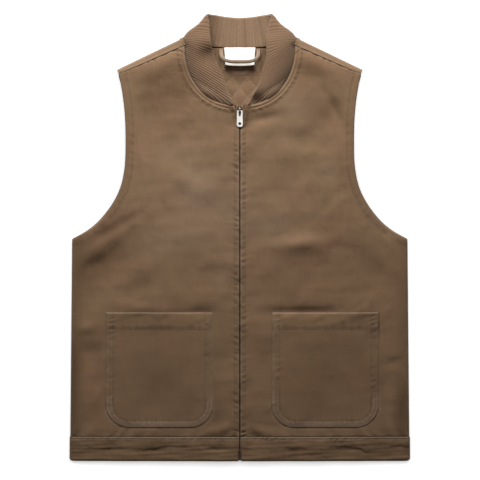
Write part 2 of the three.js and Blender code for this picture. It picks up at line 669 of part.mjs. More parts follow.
// Loop of tape from one end to the other, nearly square at its lower corners
function hangerLoop() {
  const power = 2 / LOOP.squareness;
  const line = plan(spread(0, Math.PI, PATH_STEPS * ROLL_STEPS, (angle) => new THREE.Vector2(
    LOOP.half * Math.sign(Math.cos(angle)) * Math.abs(Math.cos(angle)) ** power,
    LOOP.top - LOOP.drop * Math.sin(angle) ** power,
  )));
  const reach = 0.5 / LOOP_STEPS;
  const rows = spread(0, 1, LOOP_STEPS, (share) => {
    const place = planPoint(line, share);
    const before = planPoint(line, Math.max(share - reach, 0));
    const ahead = planPoint(line, Math.min(share + reach, 1)).sub(before).normalize();
    const lift = LOOP.height + LOOP.bow * smoothstep(LOOP.top - place.y, 0, LOOP.drop);
    return [0, LOOP.width].map((out) => (
      new THREE.Vector3(place.x - ahead.y * out, place.y + ahead.x * out, lift)
    ));
  });
  return wall(gridSheet(rows, true), LOOP.thick);
}

const PIECES = [
  { name: 'front_panel_left', make: () => frontPanel(-1), colour: COLOURS.canvas },
  { name: 'front_panel_right', make: () => frontPanel(1), colour: COLOURS.canvas },
  { name: 'back_panel', make: backPanel, colour: COLOURS.canvas },
  { name: 'hem_band', make: hemBand, colour: COLOURS.canvas },
  { name: 'pocket_left', make: () => pocket(POCKET_CENTRE_LEFT), colour: COLOURS.canvas },
  { name: 'pocket_right', make: () => pocket(POCKET_CENTRE_RIGHT), colour: COLOURS.canvas },
  { name: 'collar', make: collar, colour: COLOURS.knit },
  { name: 'back_lining', make: backLining, colour: COLOURS.lining },
  { name: 'neck_label', make: neckLabel, colour: LABEL_COLOUR },
  { name: 'hanger_loop', make: hangerLoop, colour: COLOURS.canvas },
  { name: 'zip_tape_left', make: () => zipTape(-1), colour: COLOURS.tape },
  { name: 'zip_tape_right', make: () => zipTape(1), colour: COLOURS.tape },
  { name: 'zip_teeth', make: zipTeeth, colour: COLOURS.teeth },
  { name: 'zip_slider', make: zipSlider, colour: METAL_COLOUR, metal: true },
  { name: 'zip_pull', make: zipPull, colour: METAL_COLOUR, metal: true },
  { name: 'zip_stop', make: zipStop, colour: METAL_COLOUR, metal: true },
];

const vest = new THREE.Group();
vest.name = 'canvas_vest';
for (const piece of PIECES) {
  const material = new THREE.MeshStandardMaterial({
    color: piece.colour,
    roughness: piece.metal ? ROUGHNESS.metal : ROUGHNESS.cloth,
    metalness: piece.metal ? 1 : 0,
  });
  const mesh = new THREE.Mesh(piece.make(), material);
  mesh.name = piece.name;
  vest.add(mesh);
}

export default vest;
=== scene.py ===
import math

import bmesh
import bpy
import numpy as np
from bpy.props import FloatProperty, FloatVectorProperty, PointerProperty
from mathutils import Matrix, Vector


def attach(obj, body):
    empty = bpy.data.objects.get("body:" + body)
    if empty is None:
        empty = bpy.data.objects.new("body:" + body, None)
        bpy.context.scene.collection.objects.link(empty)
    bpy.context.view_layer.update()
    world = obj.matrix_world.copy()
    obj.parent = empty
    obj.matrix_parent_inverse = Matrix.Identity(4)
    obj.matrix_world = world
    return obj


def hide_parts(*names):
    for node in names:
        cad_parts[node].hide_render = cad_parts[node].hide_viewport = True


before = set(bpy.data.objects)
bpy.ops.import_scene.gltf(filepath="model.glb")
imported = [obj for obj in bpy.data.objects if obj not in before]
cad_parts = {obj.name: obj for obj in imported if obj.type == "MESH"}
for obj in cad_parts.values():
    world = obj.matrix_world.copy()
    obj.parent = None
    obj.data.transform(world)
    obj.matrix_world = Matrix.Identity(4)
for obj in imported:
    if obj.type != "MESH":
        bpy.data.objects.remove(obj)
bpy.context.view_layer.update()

bl_info = {
    "name": "Canvas vest",
    "version": (1, 0, 0),
    "blender": (4, 5, 0),
    "location": "3D View > Sidebar > Vest",
    "description": "Builds a zip-front canvas vest lying on its back",
    "category": "Object",
}

# Pattern sizes and tables are in millimetres: X across, Y from hem to collar, Z up. Meshes are in metres.
MM = 0.001


def table(columns, *rows):
    """Short table with named columns."""
    return dict(zip(columns.split(), np.array(rows, float).T))


def seam_rows(columns, **rows):
    """Values of each seam by their names, from rows that begin with its stitch lines."""
    return {kind: dict(zip(columns.split(), values), lines=lines) for kind, (lines, *values) in rows.items()}


# Body outline
HALF_CHEST = 277.0
HALF_HEM = 280.0
HEM_Y = -369.5
HEM_SEAM_Y = -330.0
UNDERARM_Y = -3.0
SHOULDER_NECK = np.array((96.0, 327.5))
SHOULDER_TIP = np.array((203.0, 276.0))
SHOULDER_SEAM_NECK = 12.0
SHOULDER_SEAM_TIP = 6.7
NECK_HALF = 91.0
NECK_TOP_Y = 316.5
NECK_DEPTH = 100.3
NECK_ROUNDNESS = 2.2
BACK_NECK_Y = 314.5
BACK_NECK_BEND = 2.5
SEAM_GAP = 0.4

# How the layers lie over each other
ROLL = 6.5
SIDE_SEAM_HALF = 0.5
CLOSING_LENGTH = 70.0
CROWN_START = 12.0
CROWN_FULL = 130.0
FOLD_FULL = 45.0
RIDGE_DEPTH = 24.0
RIDGE_BREADTH = 17.0
RIDGE_RISE = 5.0
RIDGE_START = (-4.0, 22.0)
RIDGE_FADE = 0.45
# Painted shade in the fronts' fold hollows per millimetre of depth, and the depth below the shoulder fold
# where it starts
HOLLOW_SHADE = 0.024
HOLLOW_START = (12.0, 30.0)
SIDE_CALM = 32.0
BAND_PROUD = 1.0
HEM_CORNER = 5.0
BAND_LAP = 0.5
BAND_STEP = 18.0
STEP_SLOPE = (-1.6, 2.2)
BAND_CREASES = 0.24
# Painted shade in the band's creases, over the whole band, and more towards its sides
CREASE_SHADE = 0.05
BAND_SHADE = 0.1
BAND_SIDE_SHADE = 0.12
BAND_SIDE = (150.0, 260.0)

# Pockets
POCKET_CENTRES = {"left": -132.5, "right": 141.0}
POCKET_HALF = 87.5
MOUTH_Y = -124.0
BASE_Y = -313.0
POCKET_CORNER = 37.0
POCKET_BULGE = 10.0
POCKET_FLATNESS = 3.0
POCKET_GAP = 0.1
POCKET_START = MOUTH_Y - BASE_Y - POCKET_CORNER
FOOT_RIM = 36.0
FOOT_FADE = 26.0
MOUTH_HEM = (18.0, 27.0)
MOUTH_END = (-34.0, -22.0)
BULGE_UNREST = 0.04
MOUTH_CREASES = 0.2
NOTCH_END = (7.0, 9.0)
FOOT_CORNER = (46.0, 66.0)
DASH_PITCH = 6.5
DASH_SHADE = 0.4
BROKEN_WEAR = (0.2, 0.55)

# Painted shade along a pocket's outline on the front, standing in for the shadow of its edge: its open side,
# its sewn sides, and more at its foot and mouth
OUTLINE_OPEN = 0.12
OUTLINE_SEWN = 0.55
OUTLINE_FOOT = 0.6
OUTLINE_END = 0.7

# How far a pocket keeps the front flat, inside and outside its edges and its mouth, and how flat
CALM_IN = 30.0
CALM_OUT = 10.0
CALM_BELOW_MOUTH = 20.0
CALM_ABOVE_MOUTH = 6.0
POCKET_CALM = 0.6

# Zip
ZIP_EDGE = 0.8
ZIP_SPREAD = 8.6
ZIP_SPREAD_Y = 176.0
ZIP_TOP_Y = NECK_TOP_Y - NECK_DEPTH
ZIP_DROP = 3.3
ZIP_FOOT_Y = -355.5
TAPE_EDGE = 2.4
TAPE_SPREAD = 3.4
TAPE_WIDTH = 12.0
SLIDER_Y = 208.5
SLIDER_LENGTH = 12.0
SLIDER_SHADOW = (182.0, 196.0)
ZIP_SHADE_LIMIT = 1.6
TOOTH_X = 0.75
TOOTH_DROP = 1.0
TOOTH_BEVEL = 0.22
TOOTH_SHARE = 0.62
TAPE_CLOTH = 0.9

# Back neck
LINING_INSET = 14.0
LINING_NECK_INSET = 2.0
LINING_TOP = 4.9
LABEL_HALF = 26.0
LABEL_TOP = 313.0
LABEL_LENGTH = 31.0
LABEL_HEIGHT = 6.4
LABEL_BOW = 1.5
LABEL_LIFT = 4.6
LOOP_HALF = 28.0
LOOP_TOP = 311.0
LOOP_DROP = 19.3
LOOP_HEIGHT = 6.8
LOOP_BOW = 13.0
LOOP_SQUARENESS = 4.0
LOOP_WIDTH = 5.8
LABEL_CLOTH = 0.9
LOOP_CLOTH = 1.1

# Armhole edge of the +X front
ARMHOLE = table(
    "y x", (-3, 277), (10, 253.5), (27, 232.5), (54, 211), (82, 197), (115, 190),
    (155, 188.4), (205, 190), (250, 196), (276, 203),
)

# Height of the front above its edges along the body's middle
CROWN = table(
    "y rise", (-370, 9), (-300, 12), (-180, 16), (-20, 18), (110, 18), (216, 15), (330, 10),
)

# Half width over which that height falls away
CROWN_HALF = table(
    "y x", (-370, 281), (-150, 280), (-80, 277), (-20, 263), (40, 241), (100, 223), (160, 213), (220, 210),
    (330, 210),
)

# Unrest of the front's cloth: height, wave length, seed, number of waves
UNREST = ((0.6, 95.0, 5, 16), (0.22, 34.0, 6, 16), (0.07, 13.0, 7, 28))

# Dents and folds of the front: middle, turn from +X in degrees, half length, half breadth, rise
FOLDS = table(
    "x y turn reach breadth rise",
    (-214, -50, 47, 64, 26, -6.5), (-262, -24, 47, 46, 15, 2.2), (96, -11, 5, 48, 14, 5.2),
    (-128, 202, 10, 56, 42, -10.0), (-118, 150, 8, 62, 58, -5.0), (120, 190, -11, 54, 42, -6.2),
    (118, 146, -8, 60, 56, -4.0), (152, 219, -60, 40, 9, -4.0), (42, 196, 12, 32, 9, -3.5),
    (-262, -186, -5, 30, 20, -3.0), (226, -60, -28, 48, 20, -5.0), (256, -14, -40, 38, 12, 2.5),
    (-36, -318, 14, 26, 8, 2.5), (36, -320, -12, 24, 8, 2.5), (-98, 94, -28, 42, 18, 2.6),
    (84, 140, 10, 42, 18, 3.0), (105, 158, -8, 34, 14, -2.5), (122, 104, 6, 40, 13, -1.2),
    (107, -124, 1, 62, 10, -2.4), (-64, -124, 2, 26, 10, -2.2), (-160, -78, 20, 44, 18, -2.4),
    (-40, -40, -14, 36, 16, 2.0), (200, -120, 34, 40, 14, 2.4), (-176, -116, -10, 30, 12, 2.0),
    (262, -205, 12, 24, 9, -2.5), (-262, -150, 8, 24, 9, 2.2), (-120, 30, 24, 52, 16, -1.0),
    (60, 50, -20, 46, 15, 1.0), (150, 60, 42, 36, 12, -1.4), (-218, 8, 31, 56, 9, -3.4),
    (-240, -44, 35, 44, 10, -2.0), (172, -18, -20, 36, 14, -2.0),
)

# Soft patches of painted shade: middle, turn, half length, half breadth, darkness. Where the darkness is
# below zero, the patch is a painted highlight instead.
SHADE_AND_HIGHLIGHT_SPOTS = table(
    "x y turn reach breadth dark",
    (100, -118, 1, 54, 4.6, 0.66), (-152, -119, 2, 24, 3.0, 0.3), (-70, -119, -2, 22, 3.0, 0.35),
    (188, -114, 34, 24, 4.0, 0.25), (-222, 6, 31, 52, 8, 0.24), (-246, -46, 35, 42, 11, 0.2),
    (164, 4, -8, 40, 20, 0.14), (-270, -70, 88, 170, 16, 0.24), (-276, -265, 90, 100, 13, 0.55),
    (270, -140, 90, 150, 13, 0.26), (268, -300, 90, 60, 15, 0.52), (-129, -239, 12, 30, 22, 0.17),
    (136, -228, 48, 44, 28, 0.17), (-102, 258, 62, 32, 15, 0.3), (112, 258, -62, 30, 18, 0.16),
    (14, 211, -35, 12, 5, 0.35), (9, 197, 88, 18, 6.5, 0.75), (-14, 194, 90, 14, 7, 0.1),
    (168, 205, -70, 34, 12, 0.12), (-240, -22, 40, 44, 18, 0.22), (204, -68, -15, 56, 20, 0.2),
    (-86, 256, 80, 34, 13, 0.26), (190, -192, -35, 46, 24, 0.16), (-190, 10, 20, 26, 11, 0.2),
    (-152, -192, 10, 28, 13, 0.18), (-168, -98, -20, 24, 11, 0.16), (100, -146, 0, 50, 14, 0.14),
    (-74, 84, 70, 40, 24, -0.3), (-116, -5, 18, 50, 20, -0.3), (146, 112, 0, 15, 15, -0.4),
    (52, 20, 20, 26, 16, -0.3), (-26, -58, 80, 34, 13, -0.3), (-104, 140, 20, 40, 20, -0.15),
    (110, 284, -20, 34, 16, 0.22), (-134, 270, 20, 32, 18, 0.16), (-232, -50, 50, 50, 20, 0.18),
    (228, -290, 80, 50, 14, 0.16), (-38, -270, 90, 60, 9, 0.16), (92, -256, 0, 52, 12, 0.12),
    (-132, -306, 0, 56, 6.5, -0.45), (141, -306, 0, 56, 6.5, -0.45), (84, -45, 0, 44, 12, 0.1),
    (108, -29, 6, 46, 7, 0.28),
)

# Broad patches of painted highlight on the fronts: middle, half breadth, half height, amount of highlight
HIGHLIGHT_PATCHES = table("x y breadth height wear", (-40, 48, 120, 72, 0.34), (95, 208, 34, 30, 0.45))

# Collar of the +X half: places of its seam, middle and edge, a row per section from the zip round to the
# middle of the back
COLLAR = table(
    "seam_x seam_y seam_z middle_x middle_y middle_z edge_x edge_y edge_z",
    (62.8, 238.2, 21.6, 58.5, 232.8, 22.5, 53, 228.3, 23.5),
    (67.8, 247.2, 20.6, 52, 236.5, 26, 35.3, 219.6, 26.5),
    (74, 258.5, 18.2, 46, 241.5, 28, 12.5, 217.4, 29.3),
    (80.3, 271.5, 16, 53, 253.5, 28, 17.5, 230.5, 31),
    (85.2, 287, 14.3, 60, 271, 27.5, 26, 248, 31.5),
    (87.6, 302, 13.2, 65, 290, 26, 33.5, 272.5, 30.5),
    (87.9, 315, 12, 69, 308, 24, 42.5, 295.5, 28),
    (96, 326.5, 6.5, 77, 326, 19, 47.5, 322, 24.5),
    (88.5, 325.5, 4, 80.5, 338.5, 14.5, 48.8, 336.5, 20),
    (74.5, 320.5, 4.4, 68.5, 348.6, 13, 49.8, 351, 17),
    (65.5, 318.4, 4.5, 58.5, 355, 11, 51.5, 366.5, 13),
    (55.5, 317, 4.6, 50, 345.5, 6.5, 44, 366.8, 8.5),
    (29, 314.8, 4.6, 26, 341, 5, 22.5, 363.6, 6),
    (0, 314.2, 4.6, 0, 340, 4.8, 0, 362, 5.2),
)

# Dents in the collar: middle, radius, depth, and darkness of the painted shade in each
COLLAR_DENTS = table(
    "x y radius depth dark", (-52, 300, 15, 8.5, 0.6), (26, 226, 12, 6.0, 0.85), (-30, 236, 12, 1.0, 0.0),
    (-41, 299, 9, 0.0, 0.45),
)

# How each seam is finished: stitch lines in from the edge, lift and breadth of the doubled cloth, drop of its
# edge, groove under the thread, the puckers' pitch, height, reach, slant and painted shade in their valleys,
# the painted shade along the edge itself, how far its ridges are rubbed, and the painted shade in its stitch
# lines
SEAMS = seam_rows(
    "lift breadth drop groove pitch pucker reach slant stain edge rub line",
    zip=((4.9,), 0.5, 6.6, 0.6, 0.5, 9.6, 0.55, 3.3, 0.25, 0.32, 0.4, 0.75, 0.3),
    neck=((5.5, 11.0), 0.9, 11.9, 0.7, 1.0, 9.0, 0.35, 3.5, 0.2, 0.12, 0.25, 0.35, 0.4),
    shoulder=((), 0.0, 1.0, 0.8, 0.0, 17.0, 0.3, 6.0, 0.3, 0.1, 1.0, 0.7, 0.35),
    armhole=((10.5,), 0.4, 11.6, 0.8, 0.6, 14.0, 0.2, 4.5, 0.3, 0.05, 1.1, 0.6, 0.35),
    hem=((), 0.0, 1.0, 0.7, 0.0, 27.0, 0.5, 9.0, 0.7, 0.05, 0.9, 1.0, 0.35),
    pocket=((1.9, 9.2), 0.15, 10.2, 0.45, 0.3, 10.0, 0.28, 3.5, 0.3, 0.12, 0.0, 1.5, 0.12),
    mouth=((25.0,), 0.35, 26.5, 0.5, 0.3, 13.0, 0.24, 4.0, 0.2, 0.16, 0.12, 1.1, 0.55),
    band=((3.2,), 0.9, 19.0, 0.4, 0.6, 12.5, 0.4, 4.0, 0.5, 0.2, 0.0, 1.5, 0.35),
)


# Plain functions of the pattern

def smooth(value, low, high):
    """Zero below low, one above high and a soft rise between."""
    t = np.clip((value - low) / (high - low), 0, 1)
    return t * t * (3 - 2 * t)


def lerp(start, end, share):
    """Value a share of the way from start to end."""
    return start + (end - start) * share


def bell(value, width):
    """One at zero, falling off to both sides."""
    return np.exp(-((value / width) ** 2))


def mark(away, at=0.0, breadth=1.0, amount=1.0):
    """Soft line that runs a given way off an edge."""
    return amount * bell(away - at, breadth)


def turned(x, y, degrees):
    """Lengths along and across a direction that is turned from +X."""
    c, s = math.cos(math.radians(degrees)), math.sin(math.radians(degrees))
    return x * c + y * s, y * c - x * s


def along(rows, column, y):
    """Smooth curve through a table's rows, keyed by y."""
    ys, values = rows["y"], rows[column]
    slopes = np.gradient(values)
    slopes[1:-1] = (values[2:] - values[:-2]) / (ys[2:] - ys[:-2])
    slopes[0] = (values[1] - values[0]) / (ys[1] - ys[0])
    slopes[-1] = (values[-1] - values[-2]) / (ys[-1] - ys[-2])
    i = np.clip(np.searchsorted(ys, y) - 1, 0, len(ys) - 2)
    span = ys[i + 1] - ys[i]
    t = np.clip((y - ys[i]) / span, 0, 1)
    start = values[i] * (1 + 2 * t) * (1 - t) ** 2 + slopes[i] * span * t * (1 - t) ** 2
    end = values[i + 1] * t * t * (3 - 2 * t) + slopes[i + 1] * span * t * t * (t - 1)
    return start + end


def half_width(y):
    """Half width of the body, which above the underarm ends at the armhole."""
    below = lerp(HALF_HEM, HALF_CHEST, (y - HEM_SEAM_Y) / (UNDERARM_Y - HEM_SEAM_Y))
    return np.where(y >= UNDERARM_Y, along(ARMHOLE, "x", y), below)


SHOULDER_RUN = SHOULDER_TIP - SHOULDER_NECK
SHOULDER_LENGTH = float(np.hypot(*SHOULDER_RUN))
SHOULDER_OUT = np.array((-SHOULDER_RUN[1], SHOULDER_RUN[0])) / SHOULDER_LENGTH


def shoulder_depth(x, y):
    """Distance below the line of the shoulder's fold."""
    return (SHOULDER_NECK[0] - np.abs(x)) * SHOULDER_OUT[0] + (SHOULDER_NECK[1] - y) * SHOULDER_OUT[1]


def wander(x, y, length, seed, waves=16):
    """Even unrest of the cloth, about one unit high, from a fixed seed."""
    rng = np.random.default_rng(seed)
    total = np.zeros(np.broadcast(x, y).shape)
    for _ in range(waves):
        turn, phase = rng.uniform(0, 2 * math.pi, 2)
        step = 2 * math.pi / (length * rng.uniform(0.6, 1.6))
        total += np.sin(step * (x * math.cos(turn) + y * math.sin(turn)) + phase)
    return total / math.sqrt(waves / 2)


def pocket_calm(x, y):
    """One, falling to a small share where a pocket keeps the front flat."""
    inside = 0
    above_foot = smooth(y, BASE_Y - CALM_OUT, BASE_Y + CALM_IN)
    below_mouth = 1 - smooth(y, MOUTH_Y - CALM_BELOW_MOUTH, MOUTH_Y + CALM_ABOVE_MOUTH)
    for centre in POCKET_CENTRES.values():
        across = 1 - smooth(np.abs(x - centre), POCKET_HALF - CALM_IN, POCKET_HALF + CALM_OUT)
        inside = inside + across * above_foot * below_mouth
    return 1 - POCKET_CALM * inside


def fold_height(x, y):
    """Unrest, dents and folds of the front, calmed under the pockets."""
    height = sum(rise * wander(x, y, length, seed, waves) for rise, length, seed, waves in UNREST)
    for fold_x, fold_y, turn, reach, breadth, rise in zip(*FOLDS.values()):
        ahead, aside = turned(x - fold_x, y - fold_y, turn)
        height = height + rise * bell(ahead, reach) * bell(aside, breadth)
    return height * pocket_calm(x, y)


def painted_spot_tone(x, y):
    """Painted highlight and painted shade of the soft patches."""
    dark = 0
    for spot_x, spot_y, turn, reach, breadth, amount in zip(*SHADE_AND_HIGHLIGHT_SPOTS.values()):
        ahead, aside = turned(x - spot_x, y - spot_y, turn)
        dark = dark + amount * np.exp(-(ahead / reach) ** 4) * bell(aside, breadth)
    return np.maximum(-dark, 0), np.maximum(dark, 0)


def roll_share(x, y, half):
    """How far the cloth has risen over its rolled side edge, from zero to one."""
    inset = np.clip(half - np.abs(x), 0, ROLL)
    closing = 1 - smooth(y, UNDERARM_Y, UNDERARM_Y + CLOSING_LENGTH)
    return np.sqrt(np.maximum(1 - closing * (1 - inset / ROLL) ** 2, 0))


def front_height(x, y, half=None):
    """Outer face of the front."""
    half = half_width(y) if half is None else half
    middle = np.maximum(1 - (x / along(CROWN_HALF, "x", y)) ** 2, 0)
    off_shoulder = smooth(shoulder_depth(x, y), CROWN_START, CROWN_FULL)
    below_seam = smooth(shoulder_depth(x, y), CROWN_START, FOLD_FULL)
    inland = smooth(half - np.abs(x), 0, SIDE_CALM)
    relief = along(CROWN, "rise", y) * middle * off_shoulder + fold_height(x, y) * inland * below_seam
    return lerp(ROLL + SIDE_SEAM_HALF, 2 * ROLL, roll_share(x, y, half)) + relief + shoulder_ridge(x, y)


def shoulder_ridge(x, y):
    """Thick seam along each shoulder, fading towards the armhole."""
    run = ((np.abs(x) - SHOULDER_NECK[0]) * SHOULDER_OUT[1] - (y - SHOULDER_NECK[1]) * SHOULDER_OUT[0])
    ends = smooth(run, *RIDGE_START) * (1 - smooth(run, RIDGE_FADE * SHOULDER_LENGTH, SHOULDER_LENGTH))
    return RIDGE_RISE * bell(shoulder_depth(x, y) - RIDGE_DEPTH, RIDGE_BREADTH) * ends


def back_height(x, y, half=None):
    """Outer face of the back, which lies on the floor."""
    half = half_width(y) if half is None else half
    return lerp(ROLL - SIDE_SEAM_HALF, 0, roll_share(x, y, half))


def zip_edge(y):
    """Half the gap between the fronts, which spreads near the top."""
    return ZIP_EDGE + ZIP_SPREAD * np.maximum((y - ZIP_SPREAD_Y) / (ZIP_TOP_Y - ZIP_SPREAD_Y), 0) ** 2


# Plan paths

PATH_STEPS = 60
ROLL_STEPS = 9
BAND_ROLL_STEPS = 10


def path(x, y):
    """Plan path from its places."""
    return np.column_stack(np.broadcast_arrays(x, y)).astype(float)


def running(line):
    """Length along a path at each of its points."""
    return np.concatenate([[0], np.cumsum(np.linalg.norm(np.diff(line, axis=0), axis=1))])


def points_at(line, lengths):
    """Points of a path at given lengths along it."""
    run = running(line)
    return np.column_stack([np.interp(lengths, run, line[:, k]) for k in range(line.shape[1])])


def near(line, x, y):
    """Distance from a plan path, and the length along it."""
    best = np.full(np.shape(x), np.inf)
    gone = np.zeros(np.shape(x))
    run = running(line)
    for (ax, ay), (bx, by), start in zip(line[:-1], line[1:], run[:-1]):
        dx, dy = bx - ax, by - ay
        span = math.hypot(dx, dy)
        t = np.clip(((x - ax) * dx + (y - ay) * dy) / span ** 2, 0, 1)
        away = np.hypot(x - ax - t * dx, y - ay - t * dy)
        closer = away < best
        best = np.where(closer, away, best)
        gone = np.where(closer, start + t * span, gone)
    return best, gone


def inset_path(line, inset, step=2.0):
    """Path a given way to the left of another, walking along it."""
    even = points_at(line, np.linspace(0, running(line)[-1], max(int(running(line)[-1] / step), 2)))
    ahead = np.gradient(even, axis=0)
    ahead /= np.linalg.norm(ahead, axis=1)[:, None]
    return even + inset * np.column_stack([-ahead[:, 1], ahead[:, 0]])


def shoulder_line(inset):
    """Neck end and tip of a line along the shoulder, a given way below its fold."""
    return SHOULDER_NECK - SHOULDER_OUT * inset, SHOULDER_TIP - SHOULDER_OUT * inset


def front_paths():
    """Edges of the +X front, each walked with the cloth on its left."""
    low = HEM_SEAM_Y + SEAM_GAP
    seam_neck = shoulder_line(SHOULDER_SEAM_NECK + SEAM_GAP)[0]
    seam_tip = shoulder_line(SHOULDER_SEAM_TIP + SEAM_GAP)[1]
    zip_y = np.linspace(low, ZIP_TOP_Y, PATH_STEPS)
    start = math.asin((zip_edge(ZIP_TOP_Y) / NECK_HALF) ** (NECK_ROUNDNESS / 2))
    turn = np.linspace(start, math.pi / 2, PATH_STEPS)
    neck = path(
        NECK_HALF * np.sin(turn) ** (2 / NECK_ROUNDNESS),
        NECK_TOP_Y - NECK_DEPTH * np.maximum(np.cos(turn), 0) ** (2 / NECK_ROUNDNESS),
    )
    neck = np.vstack([neck[:-1], seam_neck])
    arm_y = np.linspace(UNDERARM_Y, seam_tip[1], PATH_STEPS)
    arm = np.vstack([path(half_width(arm_y), arm_y)[:-1], seam_tip])
    return {
        "zip": path(zip_edge(zip_y), zip_y)[::-1],
        "neck": neck[::-1],
        "shoulder": np.array((seam_tip, seam_neck)),
        "armhole": arm,
        "side": np.array(((half_width(low), low), (HALF_CHEST, UNDERARM_Y))),
        "hem": path(np.linspace(zip_edge(low), half_width(low), 2), low),
    }


# Relief of the sewn edges

PUCKER_HIGHLIGHT = 0.25
THREAD_FLATNESS = 0.8


def ripple(run, pitch, seed):
    """Puckers along a seam: sharp valleys between round crests, uneven in step and size, about -1 to 1."""
    a, b, c, d = np.random.default_rng(seed).uniform(0, 2 * math.pi, 4)
    beat = run / pitch
    drift = 1.4 * np.sin(1.13 * beat + a) + 0.9 * np.sin(2.7 * beat + b)
    size = 0.7 + 0.3 * np.sin(0.61 * beat + c) + 0.15 * np.sin(1.9 * beat + d)
    crests = np.abs(np.sin(math.pi * beat + drift / 2))
    return (2.4 * crests - 1.5) * size


def doubled(seam, away):
    """Height of the doubled cloth along a seam."""
    return seam["lift"] * (1 - smooth(away, seam["breadth"] - 1.0, seam["breadth"] + 1.2))


def seam_relief(kind, away, run, seed, amount):
    """Height, wear and shade that a sewn edge gives the cloth beside it."""
    seam = SEAMS[kind]
    rub = seam["rub"]
    height = doubled(seam, away) - mark(away, breadth=1.5, amount=seam["drop"])
    wear = mark(away, at=1.0, breadth=1.3, amount=rub)
    # Painted shade along the edge itself and in each stitch groove
    shade = mark(away, breadth=1.0, amount=seam["edge"])
    for line in seam["lines"]:
        height = height - mark(away, line, breadth=0.9, amount=seam["groove"])
        shade = shade + mark(away, line, breadth=0.9, amount=seam["line"])
        wear = wear + mark(away, line + 1.6, breadth=0.8, amount=0.3 * rub)
    if seam["lift"]:
        wear = wear + mark(away, seam["breadth"] - 0.8, breadth=0.8, amount=0.35 * rub)
        # Painted shadow just beyond the doubled cloth
        shade = shade + mark(away, seam["breadth"] + 1.0, breadth=1.0, amount=0.35)
    focus = seam["lines"][-1] if seam["lines"] else 0.0
    wave = ripple(run + seam["slant"] * away, seam["pitch"], seed) * amount
    close = bell(away - focus, seam["reach"])
    wide = mark(away, focus, breadth=3.5 * seam["reach"], amount=0.35)
    height = height + seam["pucker"] * wave * (close + wide)
    # Painted highlight on the puckers' crests and painted shade in their valleys
    wear = wear + PUCKER_HIGHLIGHT * np.maximum(wave, 0) * close
    shade = shade + seam["stain"] * np.maximum(-wave, 0) * close
    return height, wear, shade


def pocket_foot(y):
    """One round the foot of the pockets, fading out above their corners."""
    return 1 - smooth(y - BASE_Y, FOOT_RIM, FOOT_RIM + FOOT_FADE)


def front_face(side, amount):
    """Function of plan place that gives the +X or -X front's height, wear and shade."""
    lines = front_paths()
    pocket = pocket_edge(POCKET_CENTRES["left" if side < 0 else "right"])

    def face(x, y):
        height = front_height(x, y)
        # Painted highlight and painted shade of the soft patches
        wear, shade = painted_spot_tone(x, y)
        # Painted shade in the hollows of the folds
        hollow = np.maximum(-fold_height(x, y), 0) * smooth(shoulder_depth(x, y), *HOLLOW_START)
        shade = shade + HOLLOW_SHADE * hollow
        roll = roll_share(x, y, half_width(y))
        for number, kind in enumerate(("zip", "neck", "shoulder", "armhole", "hem")):
            away, run = near(lines[kind], np.abs(x), y)
            parts = seam_relief(kind, away, run, 20 + 7 * number + side, amount)
            height, wear, shade = height + parts[0] * roll, wear + parts[1], shade + parts[2]
            if kind == "armhole":
                # Painted shade along the armhole
                shade = shade + mark(away, breadth=9.0, amount=0.16)
        wear = wear + mark(near(lines["side"], np.abs(x), y)[0], breadth=3.0, amount=0.25)
        # Painted highlight over broad patches
        for light_x, light_y, breadth, tall, rub in zip(*HIGHLIGHT_PATCHES.values()):
            wear = wear + rub * bell(y - light_y, tall) * bell(x - light_x, breadth)
        away, run = near(pocket, x, y)
        sewn = smooth(run - POCKET_START, -3.0, 3.0)
        foot = pocket_foot(y)
        mouth_end = smooth(y - MOUTH_Y, *MOUTH_END)
        # Painted shade along the pocket's outline, and a painted highlight just outside it
        dark = lerp(OUTLINE_OPEN, OUTLINE_SEWN, sewn) * (1 + OUTLINE_FOOT * foot + OUTLINE_END * mouth_end)
        shade = shade + dark * bell(away, 0.9)
        wear = wear + sewn * lerp(0.25, 1.0, foot) * mark(away, at=2.6, breadth=1.4, amount=0.6)
        gap = np.abs(x) - zip_edge(y)
        shade = shade + mark(gap, at=4.0, breadth=2.6, amount=0.6) * smooth(y, *SLIDER_SHADOW)
        # Painted shade in uneven patches along the zip's edges
        blots = wander(0 * x, y, length=15.0, seed=61) + 0.4 * wander(0 * x, y, length=6.0, seed=62 + side)
        shade = shade + np.clip(blots, 0, ZIP_SHADE_LIMIT) * mark(gap, breadth=2.6, amount=0.4)
        return height, wear, shade

    return face


def pocket_half(y):
    """Half width of a pocket, which narrows round its lower corners."""
    short = np.maximum(POCKET_CORNER - (y - BASE_Y), 0)
    return POCKET_HALF - POCKET_CORNER + np.sqrt(np.maximum(POCKET_CORNER ** 2 - short ** 2, 0))


def pocket_edge(centre):
    """Sewn sides and foot of a pocket, walked with the cloth on its left."""
    turn = np.linspace(0, math.pi / 2, PATH_STEPS // 4)
    x = POCKET_HALF - POCKET_CORNER + POCKET_CORNER * np.sin(turn)
    y = BASE_Y + POCKET_CORNER - POCKET_CORNER * np.cos(turn)
    right = np.vstack([path(x, y), (POCKET_HALF, MOUTH_Y)])
    left = right[::-1] * (-1, 1)
    return np.vstack([left, right]) + (centre, 0)


